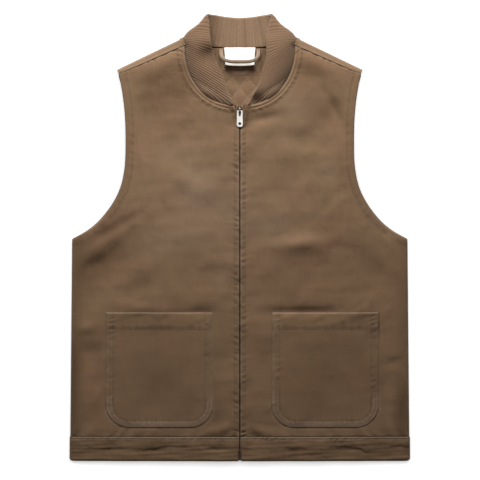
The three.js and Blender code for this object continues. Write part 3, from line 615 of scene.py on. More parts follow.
def pocket_face(centre, thickness, amount):
    """Function of plan place that gives a pocket's height, wear and shade."""
    edge = pocket_edge(centre)
    mouth = np.array(((centre + POCKET_HALF, MOUTH_Y), (centre - POCKET_HALF, MOUTH_Y)))
    seed = int(abs(centre))

    def face(x, y):
        up = (y - BASE_Y) / (MOUTH_Y - BASE_Y)
        u = np.clip((x - centre) / np.maximum(pocket_half(y), 1.0), -1, 1)
        bulge = POCKET_BULGE * up * (1 - np.abs(u) ** POCKET_FLATNESS)
        bulge = bulge * (1 + BULGE_UNREST * wander(x, y, length=80.0, seed=seed))
        away, run = near(edge, x, y)
        sewn = seam_relief("pocket", away, run, seed + 3, amount)
        below, mouth_run = near(mouth, x, y)
        hemmed = seam_relief("mouth", below, mouth_run, seed + 4, amount)
        loose = (1 - smooth(below, *MOUTH_HEM)) * bulge / POCKET_BULGE
        creases = MOUTH_CREASES * wander(x, y, length=22.0, seed=9) * loose
        height = front_height(x, y) + POCKET_GAP + bulge + thickness + sewn[0] + hemmed[0] + creases
        # Painted highlight and painted shade of the soft patches
        wear, shade = painted_spot_tone(x, y)
        foot = pocket_foot(y)
        # Painted shade in a short crease across the rim where its sewn side begins
        notch = mark(run - POCKET_START, at=0.25 * away, breadth=1.3, amount=0.6)
        notch = notch * (1 - smooth(away, *NOTCH_END))
        broken = BROKEN_WEAR[0] + BROKEN_WEAR[1] * np.clip(wander(x, y, length=13.0, seed=17), 0, 1)
        corner = foot * smooth(np.abs(x - centre), *FOOT_CORNER)
        # Painted highlight on the corner puckers' crests and painted shade in their valleys
        dashes = ripple(run, DASH_PITCH, seed + 5) * corner * mark(away, at=6.6, breadth=2.2)
        rim = mark(away, at=2.2, breadth=1.1, amount=0.9) + mark(away, at=8.0, breadth=1.0, amount=0.8)
        wear = wear + sewn[1] * lerp(broken, 1.0, foot) + foot * rim + np.maximum(dashes, 0) + hemmed[1]
        # Painted shade of the pocket's seams, deeper round its foot
        shade = shade + sewn[2] * lerp(0.7, 1.5, foot) + hemmed[2]
        shade = shade + notch + DASH_SHADE * np.maximum(-dashes, 0)
        return height, wear, shade

    return face


def band_half(y):
    """Half width of the hem band, which narrows round its lower corners."""
    short = np.maximum(HEM_CORNER - (y - HEM_Y), 0)
    return half_width(y) + BAND_PROUD - HEM_CORNER + np.sqrt(np.maximum(HEM_CORNER ** 2 - short ** 2, 0))


def band_face(amount):
    """Function of plan place for the hem band's front: its upper half steps down along a wavering line."""
    lift = SEAMS["band"]["lift"]

    def face(x, y):
        half = band_half(y)
        away = HEM_SEAM_Y + BAND_LAP - y
        level = 0 * x
        waver = 1.6 * wander(x, level, length=60.0, seed=31) + 0.6 * wander(x, level, length=17.0, seed=32)
        past = away - (BAND_STEP + waver)
        firm = 0.6 + 0.4 * np.tanh(wander(x, level, length=70.0, seed=35))
        creases = wander(0.12 * x, y, length=10.0, seed=34) + 0.8 * wander(x, 0.7 * y, length=34.0, seed=36)
        placket = np.abs(x) - ZIP_EDGE
        height, wear, shade = seam_relief("band", away, x, 33, amount)
        height = height - doubled(SEAMS["band"], away) + lift + lift * firm * (1 - smooth(past, *STEP_SLOPE))
        height = height - firm * mark(past, at=2.0, breadth=3.4, amount=0.35)
        height = height - mark(y - HEM_Y, breadth=2.0, amount=1.4)
        free = smooth(away, 2.0, 9.0) * smooth(y - HEM_Y, 0.0, 8.0)
        height = height + BAND_CREASES * creases * amount * free
        height = height - mark(placket, breadth=1.4, amount=0.8)
        height = height - mark(placket, at=9.0, breadth=1.4, amount=0.35)
        # Painted shade in the creases, below the wavering step, over the whole band and more towards its
        # sides
        shade = shade + CREASE_SHADE * np.maximum(-creases, 0) * smooth(away, 6.0, 14.0)
        shade = shade + firm * mark(past, at=1.2, breadth=3.0, amount=0.4)
        shade = shade + BAND_SHADE + BAND_SIDE_SHADE * smooth(np.abs(x), *BAND_SIDE)
        wear = wear + mark(past, at=-1.4, breadth=1.2, amount=0.25)
        wear = wear + mark(y - HEM_Y, at=1.5, breadth=1.5, amount=0.3)
        return front_height(x, y, half) + height * roll_share(x, y, half), wear, shade

    return face


# Meshes

SEWN_WITHIN = 0.02


def placed(name, data):
    """New object in the scene."""
    obj = bpy.data.objects.new(name, data)
    bpy.context.scene.collection.objects.link(obj)
    return obj


def mesh_object(name, points, faces, uv=None, **layers):
    """Mesh object from points in millimetres, with a UV map in metres and named point values."""
    mesh = bpy.data.meshes.new(name)
    mesh.from_pydata((np.asarray(points, float) * MM).tolist(), [], [tuple(map(int, f)) for f in faces])
    corners = np.empty(len(mesh.loops), dtype=np.int32)
    mesh.loops.foreach_get("vertex_index", corners)
    if uv is not None:
        mesh.uv_layers.new(name="cloth").data.foreach_set("uv", (np.asarray(uv) * MM)[corners].ravel())
    for layer, values in layers.items():
        store = mesh.attributes.new(layer, "FLOAT", "POINT")
        store.data.foreach_set("value", np.ascontiguousarray(np.ravel(values), dtype=np.float32))
    mesh.polygons.foreach_set("use_smooth", np.ones(len(mesh.polygons), dtype=bool))
    return placed(name, mesh)


def grid_faces(rows, columns, reverse=False):
    """Quads of a grid of points."""
    ids = np.arange(rows * columns).reshape(rows, columns)
    a, b, c, d = ids[:-1, :-1], ids[:-1, 1:], ids[1:, 1:], ids[1:, :-1]
    order = (a, d, c, b) if reverse else (a, b, c, d)
    return np.stack([corner.ravel() for corner in order], axis=1)


def grid_uv(grid):
    """Cloth lengths along the rows and columns of a grid."""
    u = np.cumsum(np.linalg.norm(np.diff(grid, axis=1, prepend=grid[:, :1]), axis=2), axis=1)
    v = np.cumsum(np.linalg.norm(np.diff(grid, axis=0, prepend=grid[:1]), axis=2), axis=0)
    return np.stack([u, v], axis=2).reshape(-1, 2)


def grid_object(name, grid, up=True, mirror=False, plan_uv=False, **layers):
    """Sheet from a grid of points. With mirror, the other half is added and the two are sewn together."""
    grid = np.asarray(grid, float)
    rows, columns = grid.shape[:2]
    points = grid.reshape(-1, 3)
    faces = grid_faces(rows, columns)
    middle = faces[len(faces) // 2]
    a, b, d = points[middle[0]], points[middle[1]], points[middle[3]]
    if (np.cross(b - a, d - a)[2] > 0) != up:
        faces = grid_faces(rows, columns, reverse=True)
    uv = points[:, :2] if plan_uv else grid_uv(grid)
    values = {key: np.ravel(value) for key, value in layers.items()}
    if mirror:
        points = np.vstack([points, points * (-1, 1, 1)])
        uv = np.vstack([uv, uv * (-1, 1)])
        faces = np.vstack([faces, faces[:, ::-1] + rows * columns])
        values = {key: np.tile(value, 2) for key, value in values.items()}
    obj = mesh_object(name, points, faces, uv, **values)
    if mirror:
        sewn = bmesh.new()
        sewn.from_mesh(obj.data)
        bmesh.ops.remove_doubles(sewn, verts=sewn.verts, dist=SEWN_WITHIN * MM)
        sewn.to_mesh(obj.data)
        sewn.free()
    return obj


def thicken(obj, thickness):
    """Gives a sheet its thickness, inwards from the face that was modelled."""
    wall = obj.modifiers.new("Cloth thickness", "SOLIDIFY")
    wall.thickness = thickness
    wall.offset = -1
    wall.use_even_offset = False


def settle(obj, body, finish, material, *nodes):
    """Puts a finished piece on its body in place of its CAD nodes."""
    obj.data.materials.clear()
    obj.data.materials.append(material)
    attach(obj, body)
    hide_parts(*nodes)
    return obj


def cloth_piece(name, grid, thickness, finish, material, *nodes, **options):
    """Sheet of cloth from a grid of points, on the vest in place of its CAD nodes."""
    piece = grid_object(name, grid, **options)
    thicken(piece, thickness)
    return settle(piece, "vest", finish, material, *nodes)


def steps_to(length, fine, reach, coarse_count):
    """Places across a strip, finer near both ends."""
    ends = np.arange(0, reach, fine)
    return np.concatenate([ends, np.linspace(reach, length - reach, coarse_count), (length - ends)[::-1]])


# Node trees

# Streaks of single threads, in waves per metre along and across them
STREAK_ALONG = 22.0
STREAK_ACROSS = 900.0
KNIT_STREAK = (280.0, 30.0, 1.0)

# Knit: lean of the loops in a rib, and height of loose fibre beside theirs
LOOP_LEAN = 1.1
LOOSE_FIBRE = 0.8

# Dye: share of small blots and what they average to, drift from cool to warm, and the deepest painted shade
# and the colour it darkens towards
BLOT_SHARE = 0.8
BLOT_MIDDLE = 0.9
COOL = (0.93, 1.02, 1.0, 1.0)
WARM = (1.07, 0.98, 1.0, 1.0)
FLECK_GAIN = 1.6
FLECK_START = -0.2
DEEPEST = 0.75
PAINTED_SHADE_TINT = (0.32, 0.264, 0.195, 1.0)

# Roughness, and what clouds and wear add to it
CLOTH_ROUGH = 0.8
CLOUD_ROUGH = 0.12
WEAR_ROUGH = 0.05
METAL_CLOUD_ROUGH = 0.22

# Tint of the fibres' gloss, and how far clouds darken metal
FIBRE_GLINT = (1.0, 0.76, 0.54, 1.0)
METAL_CLOUD = 0.82


def node(tree, kind, settings=None, **inputs):
    """New node with its settings and inputs."""
    made = tree.nodes.new(kind)
    for key, value in (settings or {}).items():
        setattr(made, key, value)
    feed_all(tree, made, **inputs)
    return made


def feed_all(tree, made, **inputs):
    """Feeds a node's inputs by their names, with underscores for spaces."""
    for key, value in inputs.items():
        feed(tree, made.inputs[key.replace("_", " ")], value)


def feed(tree, socket, value):
    """Links a socket to another one, or sets its value."""
    if isinstance(value, bpy.types.NodeSocket):
        tree.links.new(value, socket)
    else:
        socket.default_value = value


def maths(tree, operation, *values):
    """Result of a maths node."""
    made = tree.nodes.new("ShaderNodeMath")
    made.operation = operation
    for socket, value in zip(made.inputs, values):
        feed(tree, socket, value)
    return made.outputs[0]


def noise(tree, place, scale, detail):
    """Value of a noise texture."""
    return node(tree, "ShaderNodeTexNoise", Vector=place, Scale=scale, Detail=detail).outputs[0]


def blend_colours(tree, mode, share, first, second):
    """Result of a colour mix node, whose colour sockets share their names with others and go by number."""
    made = tree.nodes.new("ShaderNodeMix")
    made.data_type = "RGBA"
    made.blend_type = mode
    feed(tree, made.inputs[0], share)
    feed(tree, made.inputs[6], first)
    feed(tree, made.inputs[7], second)
    return made.outputs[2]


def group_tree(name, inputs, outputs):
    """Shader node group with named sockets: its tree, the given sockets and those of the result."""
    tree = bpy.data.node_groups.new(name, "ShaderNodeTree")
    for label, kind, default in inputs:
        socket = tree.interface.new_socket(label, in_out="INPUT", socket_type="NodeSocket" + kind)
        if default is not None:
            socket.default_value = default
    for label, kind in outputs:
        tree.interface.new_socket(label, in_out="OUTPUT", socket_type="NodeSocket" + kind)
    return tree, tree.nodes.new("NodeGroupInput").outputs, tree.nodes.new("NodeGroupOutput").inputs


def use_group(tree, name, **inputs):
    """Outputs of a node group."""
    made = tree.nodes.new("ShaderNodeGroup")
    made.node_tree = bpy.data.node_groups[name]
    feed_all(tree, made, **inputs)
    return made.outputs


def build_weave_group():
    """Plain weave: threads crossing over and under, with thicker threads here and there."""
    tree, given, result = group_tree(
        "Plain weave",
        [("Cloth place", "Vector", None), ("Threads per metre", "Float", 1400.0), ("Slub", "Float", 0.5)],
        [("Height", "Float"), ("Streak", "Float")],
    )
    apart = node(tree, "ShaderNodeSeparateXYZ", Vector=given["Cloth place"]).outputs
    beat = maths(tree, "MULTIPLY", given["Threads per metre"], math.pi)
    warp = maths(tree, "SINE", maths(tree, "MULTIPLY", apart["X"], beat))
    weft = maths(tree, "SINE", maths(tree, "MULTIPLY", apart["Y"], beat))
    crossing = maths(tree, "MULTIPLY", warp, weft)
    runs = []
    for stretch in ((STREAK_ACROSS, STREAK_ALONG, 1.0), (STREAK_ALONG, STREAK_ACROSS, 1.0)):
        place = node(tree, "ShaderNodeMapping", Vector=given["Cloth place"], Scale=stretch)
        runs.append(noise(tree, place.outputs[0], scale=1.0, detail=2.0))
    streak = maths(tree, "SUBTRACT", maths(tree, "ADD", runs[0], runs[1]), 1.0)
    feed(tree, result["Height"], maths(tree, "MULTIPLY_ADD", streak, given["Slub"], crossing))
    feed(tree, result["Streak"], streak)


def build_tone_group():
    """Dyed cloth: cloudy dye, streaks of single threads, paler worn ridges and painted highlights, and
    painted shade along seams, in creases and hollows and where shadows fall.
    """
    tree, given, result = group_tree(
        "Dyed cloth tone",
        [("Cloth place", "Vector", None), ("Dye", "Color", None), ("Worn", "Color", None),
         ("Wear", "Float", 0.0), ("Shade", "Float", 0.0), ("Streak", "Float", 0.0), ("Cloud", "Float", 0.12),
         ("Thread contrast", "Float", 0.25)],
        [("Colour", "Color"), ("Roughness", "Float")],
    )
    clouds = noise(tree, given["Cloth place"], scale=16.0, detail=4.0)
    flecks = noise(tree, given["Cloth place"], scale=420.0, detail=2.0)
    blots = noise(tree, given["Cloth place"], scale=75.0, detail=5.0)
    mixed = maths(tree, "MULTIPLY_ADD", blots, BLOT_SHARE, maths(tree, "SUBTRACT", clouds, BLOT_MIDDLE))
    cloudy = maths(tree, "MULTIPLY", mixed, given["Cloud"])
    threads = maths(tree, "MULTIPLY", given["Streak"], given["Thread contrast"])
    level = maths(tree, "ADD", maths(tree, "ADD", cloudy, threads), 1.0)
    warm = noise(tree, given["Cloth place"], scale=11.0, detail=2.0)
    drift = blend_colours(tree, "MIX", warm, COOL, WARM)
    drifted = blend_colours(tree, "MULTIPLY", 1.0, given["Dye"], drift)
    scaled = node(tree, "ShaderNodeVectorMath", {"operation": "SCALE"}, Vector=drifted, Scale=level)
    flecked = maths(tree, "MULTIPLY_ADD", flecks, FLECK_GAIN, FLECK_START)
    # Paling towards the worn colour, for rubbing and for painted highlights
    lightened = node(tree, "ShaderNodeClamp", Value=maths(tree, "MULTIPLY", given["Wear"], flecked)).outputs[0]
    worn = blend_colours(tree, "MIX", lightened, scaled.outputs[0], given["Worn"])
    # Painted shade: the Shade input darkens the colour towards the painted shade tint
    depth = node(tree, "ShaderNodeClamp", Value=given["Shade"], Max=DEEPEST).outputs[0]
    feed(tree, result["Colour"], blend_colours(tree, "MULTIPLY", depth, worn, PAINTED_SHADE_TINT))
    rough = maths(tree, "MULTIPLY_ADD", lightened, WEAR_ROUGH, CLOTH_ROUGH)
    feed(tree, result["Roughness"], maths(tree, "MULTIPLY_ADD", clouds, CLOUD_ROUGH, rough))


def build_knit_group():
    """Rib knit: small loops leaning in pairs along each rib, and loose fibre. Its threads are the ribs."""
    tree, given, result = group_tree(
        "Knit loops",
        [("Cloth place", "Vector", None), ("Loops per metre", "Float", 620.0),
         ("Threads per metre", "Float", 285.0)],
        [("Height", "Float"), ("Streak", "Float")],
    )
    apart = node(tree, "ShaderNodeSeparateXYZ", Vector=given["Cloth place"]).outputs
    rib = maths(tree, "MULTIPLY", apart["X"], given["Threads per metre"])
    lean = maths(tree, "PINGPONG", rib, 0.5)
    leaning = maths(tree, "MULTIPLY", lean, LOOP_LEAN)
    loop = maths(tree, "MULTIPLY_ADD", apart["Y"], given["Loops per metre"], leaning)
    rows = maths(tree, "SINE", maths(tree, "MULTIPLY", loop, 2 * math.pi))
    fibre = noise(tree, given["Cloth place"], scale=1500.0, detail=2.0)
    feed(tree, result["Height"], maths(tree, "MULTIPLY_ADD", fibre, LOOSE_FIBRE, rows))
    place = node(tree, "ShaderNodeMapping", Vector=given["Cloth place"], Scale=KNIT_STREAK)
    tone = noise(tree, place.outputs[0], scale=1.0, detail=2.0)
    feed(tree, result["Streak"], maths(tree, "SUBTRACT", tone, 0.5))


def new_material(name):
    """Material, with its node tree and its shader."""
    material = bpy.data.materials.new(name)
    material.use_nodes = True
    return material, material.node_tree, material.node_tree.nodes["Principled BSDF"]


def cloth_material(name, dye, worn, weave, threads, bump, sheen=0.06, cloud=0.24, contrast=0.25, mapped=True):
    """Material of one cloth: its weave group drives the bump, the tone group its colour and roughness."""
    material, tree, shader = new_material(name)
    if mapped:
        place = node(tree, "ShaderNodeUVMap", {"uv_map": "cloth"}).outputs[0]
    else:
        place = node(tree, "ShaderNodeTexCoord").outputs["Object"]
    cloth = use_group(tree, weave, Cloth_place=place, Threads_per_metre=threads)
    # The shade attribute carries painted shade; the other one pales the cloth for rubbing and for painted
    # highlights
    wear, shade = (
        node(tree, "ShaderNodeAttribute", {"attribute_name": layer}).outputs["Fac"] if mapped else 0.0
        for layer in ("wear", "shade")
    )
    tone = use_group(tree, "Dyed cloth tone", Cloth_place=place, Dye=(*dye, 1), Worn=(*worn, 1), Wear=wear,
                     Shade=shade, Streak=cloth["Streak"], Cloud=cloud, Thread_contrast=contrast)
    bumps = node(tree, "ShaderNodeBump", Height=cloth["Height"], Strength=0.6, Distance=bump)
    feed_all(tree, shader, Base_Color=tone["Colour"], Roughness=tone["Roughness"], Normal=bumps.outputs[0],
             Sheen_Weight=sheen, Sheen_Roughness=0.5, Specular_IOR_Level=0.2, Specular_Tint=FIBRE_GLINT)
    return material


def plain_cloth(name, dye, worn, threads, bump, **finish):
    """Material of a plain-woven cloth, made once. Threads are per metre, and the bump is in metres."""
    if name in bpy.data.materials:
        return bpy.data.materials[name]
    return cloth_material(name, dye, worn, "Plain weave", threads, bump, **finish)


def lighter(colour, factor):
    """Colour times a factor, no brighter than white."""
    return [min(factor * part, 1) for part in colour]


def metal_material(name, colour, dullness):
    """Plated metal: fine tumbling marks and a cloudy polish."""
    material, tree, shader = new_material(name)
    place = node(tree, "ShaderNodeTexCoord").outputs["Object"]
    marks = noise(tree, place, scale=1800.0, detail=3.0)
    cloud = noise(tree, place, scale=260.0, detail=3.0)
    tint = blend_colours(tree, "MIX", cloud, (*lighter(colour, METAL_CLOUD), 1), (*colour, 1))
    rough = maths(tree, "MULTIPLY_ADD", cloud, METAL_CLOUD_ROUGH, dullness)
    bumps = node(tree, "ShaderNodeBump", Height=marks, Strength=0.25, Distance=0.0001)
    feed_all(tree, shader, Base_Color=tint, Roughness=rough, Normal=bumps.outputs[0], Metallic=1.0)
    return material


def repeat_tree():
    """Geometry nodes: a small shape set at an even pitch along paths and turned to follow them."""
    name = "Repeat along paths"
    if name in bpy.data.node_groups:
        return bpy.data.node_groups[name]
    tree = bpy.data.node_groups.new(name, "GeometryNodeTree")
    sockets = (("Paths", "Geometry"), ("Shape", "Object"), ("Pitch", "Float"), ("Material", "Material"))
    for label, kind in sockets:
        tree.interface.new_socket(label, in_out="INPUT", socket_type="NodeSocket" + kind)
    tree.interface.new_socket("Pieces", in_out="OUTPUT", socket_type="NodeSocketGeometry")
    given = tree.nodes.new("NodeGroupInput").outputs
    curve = node(tree, "GeometryNodeMeshToCurve", Mesh=given["Paths"])
    evenly = node(tree, "GeometryNodeResampleCurve", {"mode": "LENGTH"}, Curve=curve.outputs[0],
                  Length=given["Pitch"])
    shape = node(tree, "GeometryNodeObjectInfo", Object=given["Shape"])
    tangent = node(tree, "GeometryNodeInputTangent")
    turn = node(tree, "FunctionNodeAlignRotationToVector", {"axis": "X"}, Vector=tangent.outputs[0])
    copies = node(tree, "GeometryNodeInstanceOnPoints", Points=evenly.outputs[0],
                  Instance=shape.outputs["Geometry"], Rotation=turn.outputs[0])
    real = node(tree, "GeometryNodeRealizeInstances", Geometry=copies.outputs[0])
    smoothed = node(tree, "GeometryNodeSetShadeSmooth", Geometry=real.outputs[0])
    dressed = node(tree, "GeometryNodeSetMaterial", Geometry=smoothed.outputs[0], Material=given["Material"])
    feed(tree, tree.nodes.new("NodeGroupOutput").inputs[0], dressed.outputs[0])
    return tree


def repeat_along(name, lines, shape, pitch, material):
    """Plain mesh of a shape repeated along lines of points in millimetres."""
    points = np.vstack(lines) * MM
    edges = []
    start = 0
    for line in lines:
        edges += [(i, i + 1) for i in range(start, start + len(line) - 1)]
        start += len(line)
    guide = placed(name + "_guide", bpy.data.meshes.new(name + "_guide"))
    guide.data.from_pydata(points.tolist(), edges, [])
    tree = repeat_tree()
    modifier = guide.modifiers.new("Repeat", "NODES")
    modifier.node_group = tree
    values = {"Shape": shape, "Pitch": pitch, "Material": material}
    for item in tree.interface.items_tree:
        if item.in_out == "INPUT" and item.name in values:
            modifier[item.identifier] = values[item.name]
    graph = bpy.context.evaluated_depsgraph_get()
    mesh = bpy.data.meshes.new_from_object(guide.evaluated_get(graph), depsgraph=graph)
    mesh.name = name
    made = placed(name, mesh)
    for spare in (guide, shape):
        bpy.data.objects.remove(spare)
    if not len(mesh.polygons):
        raise RuntimeError(name + ": the repeat tree gave no faces")
    return made


def shaped(name, shape):
    """Object from a finished bmesh."""
    mesh = bpy.data.meshes.new(name)
    shape.to_mesh(mesh)
    shape.free()
    return placed(name, mesh)


def bead(name, length, width, height):
    """Short thread lying along X, fat in the middle."""
    shape = bmesh.new()
    bmesh.ops.create_uvsphere(shape, u_segments=6, v_segments=5, radius=0.5)
    bmesh.ops.rotate(shape, verts=shape.verts, matrix=Matrix.Rotation(math.pi / 2, 3, "Y"))
    bmesh.ops.scale(shape, verts=shape.verts, vec=(length, width, height))
    return shaped(name, shape)


def tooth(name, length, width, height):
    """One zip tooth lying across the path, with its edges broken."""
    shape = bmesh.new()
    bmesh.ops.create_cube(shape, size=1.0)
    bmesh.ops.scale(shape, verts=shape.verts, vec=(length, width, height))
    bmesh.ops.bevel(shape, geom=shape.edges[:], offset=TOOTH_BEVEL * length, segments=1, affect="EDGES")
    return shaped(name, shape)


# Properties

def length_value(name, description, default):
    """Property in metres."""
    return FloatProperty(name=name, description=description, default=default, min=0.0, unit="LENGTH",
                         subtype="DISTANCE", precision=5)


def power_value(name, description, default):
    """Property in watts."""
    return FloatProperty(name=name, description=description, default=default, unit="POWER")


def plain_value(name, description, default):
    """Property without a unit."""
    return FloatProperty(name=name, description=description, default=default)


def colour_value(name, description, default):
    """Property that holds a linear colour."""
    return FloatVectorProperty(name=name, description=description, default=default, size=3, min=0.0, max=1.0,
                               subtype="COLOR")


class VestSizes(bpy.types.PropertyGroup):
    """Cloth thicknesses and the sizes of sewn detail."""

    canvas: length_value("Canvas", "Thickness of the canvas panels", 0.0016)
    patch: length_value("Patch", "Thickness of the single-layer pockets", 0.0009)
    band: length_value("Hem band", "Thickness of the doubled hem band", 0.0024)
    knit: length_value("Rib knit", "Thickness of the collar between its ribs", 0.0034)
    lining: length_value("Lining", "Thickness of the quilted lining", 0.0024)
    rib_pitch: length_value("Rib pitch", "Distance from one collar rib to the next", 0.0033)
    rib_depth: length_value("Rib depth", "Depth of the grooves between collar ribs", 0.0006)
    quilt_cell: length_value("Quilt cell", "Side of a quilted diamond", 0.021)
    quilt_puff: length_value("Quilt puff", "Height of a quilted diamond", 0.0011)
    stitch_pitch: length_value("Stitch pitch", "Distance from one stitch to the next", 0.0033)
    stitch_length: length_value("Stitch length", "Length of the thread seen in one stitch", 0.0026)
    thread: length_value("Thread", "Thickness of the sewing thread", 0.0007)
    tooth_pitch: length_value("Tooth pitch", "Distance between zip teeth on one side", 0.0022)
    pucker: FloatProperty(name="Pucker", description="How strongly the seams pucker", default=1.0, min=0.0,
                          subtype="FACTOR")


class VestColours(bpy.types.PropertyGroup):
    """Dyes and finishes."""

    # The worn colours also colour the painted highlights
    canvas: colour_value("Canvas", "Dye of the canvas", (0.1012, 0.0606, 0.0332))
    canvas_worn_and_lit: colour_value("Worn canvas", "Canvas where its ridges are rubbed", (0.156, 0.112, 0.078))
    knit: colour_value("Rib knit", "Dye of the collar", (0.087, 0.0498, 0.0284))
    knit_worn_and_lit: colour_value("Worn knit", "Crests of the collar ribs", (0.156, 0.103, 0.0665))
    lining: colour_value("Lining", "Dye of the quilted lining", (0.105, 0.061, 0.033))
    lining_line: colour_value("Quilting", "Sewn lines of the lining", (0.165, 0.115, 0.075))
    label: colour_value("Label", "Blank woven label", (0.43, 0.418, 0.402))
    loop: colour_value("Hanger loop", "Tape of the hanger loop", (0.11, 0.08, 0.055))
    tape: colour_value("Zip tape", "Tape and teeth of the zip", (0.042, 0.02, 0.0088))
    thread: colour_value("Thread", "Sewing thread", (0.108, 0.066, 0.037))
    metal: colour_value("Metal", "Plating of the zip pull", (0.8, 0.78, 0.74))
    dark_metal: colour_value("Dark metal", "Body of the slider and the stop", (0.075, 0.06, 0.046))


class VestStage(bpy.types.PropertyGroup):
    """Floor, light and camera."""

    key_power: power_value("Key light", "Power of the light beyond the collar", 78.0)
    fill_power: power_value("Fill light", "Power of the soft light overhead", 6.0)
    ambient: plain_value("Ambient", "Brightness of the surroundings", 0.3)
    wash_power: power_value("Floor wash", "Power of the light on the floor alone", 26.0)
    floor_glow: plain_value("Floor glow", "Light that the backlit floor gives", 0.34)
    camera_height: length_value("Camera height", "Height of the camera above the vest", 5.0)
    frame_width: length_value("Frame width", "Width that the picture takes in", 0.792)


# Operators

def canvas_material():
    """Canvas of the fronts, back, band and pockets."""
    colours = bpy.context.scene.vest_colours
    return plain_cloth("brown canvas", colours.canvas, colours.canvas_worn_and_lit, threads=1400.0, bump=0.00035)


def tape_material():
    """Woven tape of the zip."""
    tape = bpy.context.scene.vest_colours.tape
    return plain_cloth("zip tape", tape, lighter(tape, 1.5), threads=2400.0, bump=0.0002)


class VEST_OT_finishes(bpy.types.Operator):
    """Builds the node groups that the cloth materials share"""

    bl_idname = "vest.finishes"
    bl_label = "Cloth finishes"

    def execute(self, context):
        build_weave_group()
        build_tone_group()
        build_knit_group()
        return {"FINISHED"}


def spread(inner, outer, rise, across):
    """Plan grid between two edges: rows at shares of their lengths, columns at places that across gives."""
    starts = points_at(inner, rise * running(inner)[-1])
    ends = points_at(outer, rise * running(outer)[-1])
    widths = np.linalg.norm(ends - starts, axis=1)
    shares = np.array([across(width) / width for width in widths])
    return starts[:, None] + (ends - starts)[:, None] * shares[..., None]


class VEST_OT_fronts(bpy.types.Operator):
    """Builds the two canvas front panels from hem seam to shoulder seam"""

    bl_idname = "vest.fronts"
    bl_label = "Front panels"

    def execute(self, context):
        sizes = context.scene.vest_sizes
        lines = front_paths()
        inner = np.vstack([lines["zip"][::-1], lines["neck"][::-1][1:]])
        outer = np.vstack([lines["side"], lines["armhole"][1:]])
        rise = steps_to(1.0, fine=0.002, reach=0.02, coarse_count=235)
        plan = spread(inner, outer, rise, lambda width: steps_to(width, 1.1, reach=13.0, coarse_count=78))
        for side, word in ((-1, "left"), (1, "right")):
            x, y = side * plan[..., 0], plan[..., 1]
            z, wear, shade = front_face(side, sizes.pucker)(x, y)
            grid = np.dstack([x, y, z])
            panel = cloth_piece("canvas_front_" + word, grid, sizes.canvas, "canvas", canvas_material(),
                                "front_panel_" + word, plan_uv=True, wear=wear, shade=shade)
        return {"FINISHED"}


def back_plan(low, inset, neck_inset, rows, columns):
    """Plan grid of half the back, up to where the shoulder fold begins."""
    neck, tip = shoulder_line(ROLL + inset)
    neck = neck - (inset, 0)
    tip = tip - (inset, 0)
    x = np.linspace(0, neck[0], PATH_STEPS)
    top = BACK_NECK_Y - neck_inset
    curve = path(x, lerp(top, neck[1], (x / neck[0]) ** BACK_NECK_BEND))
    inner = np.vstack([(0, low), curve[:-1], neck])
    arm_y = np.linspace(UNDERARM_Y, tip[1], PATH_STEPS)
    outer = np.vstack([(half_width(low) - inset, low), path(half_width(arm_y) - inset, arm_y)[:-1], tip])
    turn = np.sin(np.linspace(0, math.pi / 2, ROLL_STEPS))

    def across(width):
        return np.concatenate([np.linspace(0, width - ROLL, columns), width - ROLL + ROLL * turn[1:]])

    return spread(inner, outer, np.linspace(0, 1, rows), across)


class VEST_OT_back(bpy.types.Operator):
    """Builds the canvas back, which wraps over both shoulders to the shoulder seams"""

    bl_idname = "vest.back"
    bl_label = "Back panel"

    NECK_LAP = 4.0
    NECK_TAPE = 6.0
    SEAM_LAP = 1.2
    ROLL_ROWS = 12
    STRIP_ROWS = 8
    STRIP_WEAR = 0.2
    STRIP_SHADE = 0.3
    FAR_AWAY = 100.0

    def execute(self, context):
        sizes = context.scene.vest_sizes
        plan = back_plan(HEM_SEAM_Y + SEAM_GAP, inset=0, neck_inset=0, rows=150, columns=64)
        x, y = plan[..., 0], plan[..., 1]
        rows = [np.dstack([x, y, back_height(x, y)])]
        fold = plan[-1]
        outwards = (fold[-1] - fold[0]) / np.linalg.norm(fold[-1] - fold[0])
        lap = self.NECK_LAP * (1 - np.linspace(0, 1, len(fold))) ** 3
        fold = fold - outwards * lap[:, None]
        for turn in np.linspace(-math.pi / 2, math.pi / 2, self.ROLL_ROWS + 1)[1:]:
            out = fold + SHOULDER_OUT * ROLL * math.cos(turn)
            rows.append(np.column_stack([out, np.full(len(out), ROLL + ROLL * math.sin(turn))])[None])
        seam = SEAMS["shoulder"]
        run = running(fold)
        strip = lerp(SHOULDER_SEAM_NECK, SHOULDER_SEAM_TIP, run / run[-1]) - ROLL + self.SEAM_LAP
        tape = bell(run - self.NECK_TAPE, 0.9)
        shares = np.linspace(0, 1, self.STRIP_ROWS + 1)[1:]
        for share in shares:
            out = fold - SHOULDER_OUT * (strip * share)[:, None]
            left = strip * (1 - share)
            lift = 0.9 * smooth(strip * share, 0, 4) - mark(left, breadth=0.8, amount=0.4) - 0.4 * tape
            lift = lift + seam["pucker"] * ripple(run, seam["pitch"], 41) * bell(left, seam["reach"])
            rows.append(np.column_stack([out, 2 * ROLL + lift + shoulder_ridge(out[:, 0], out[:, 1])])[None])
        grid = np.vstack(rows)
        away = np.full(grid.shape[:2], self.FAR_AWAY)
        away[-self.STRIP_ROWS:] = strip[None] * (1 - shares)[:, None]
        worn = np.zeros(grid.shape[:2])
        worn[-self.STRIP_ROWS - self.ROLL_ROWS // 2:] = self.STRIP_WEAR
        # Painted shade on the shoulder strip, deepest at the neck, along the seam's edge and in the neck
        # tape's groove
        dark = np.where(worn > 0, self.STRIP_SHADE * (1 - run / run[-1]), 0)
        dark = dark + mark(away, breadth=0.8, amount=0.7)
        dark[-self.STRIP_ROWS:] += 0.45 * tape
        worn = worn + mark(away, at=1.2, breadth=1.4, amount=0.3)
        panel = cloth_piece("canvas_back", grid, sizes.canvas, "canvas", canvas_material(), "back_panel",
                            up=False, mirror=True, wear=worn, shade=dark)
        return {"FINISHED"}


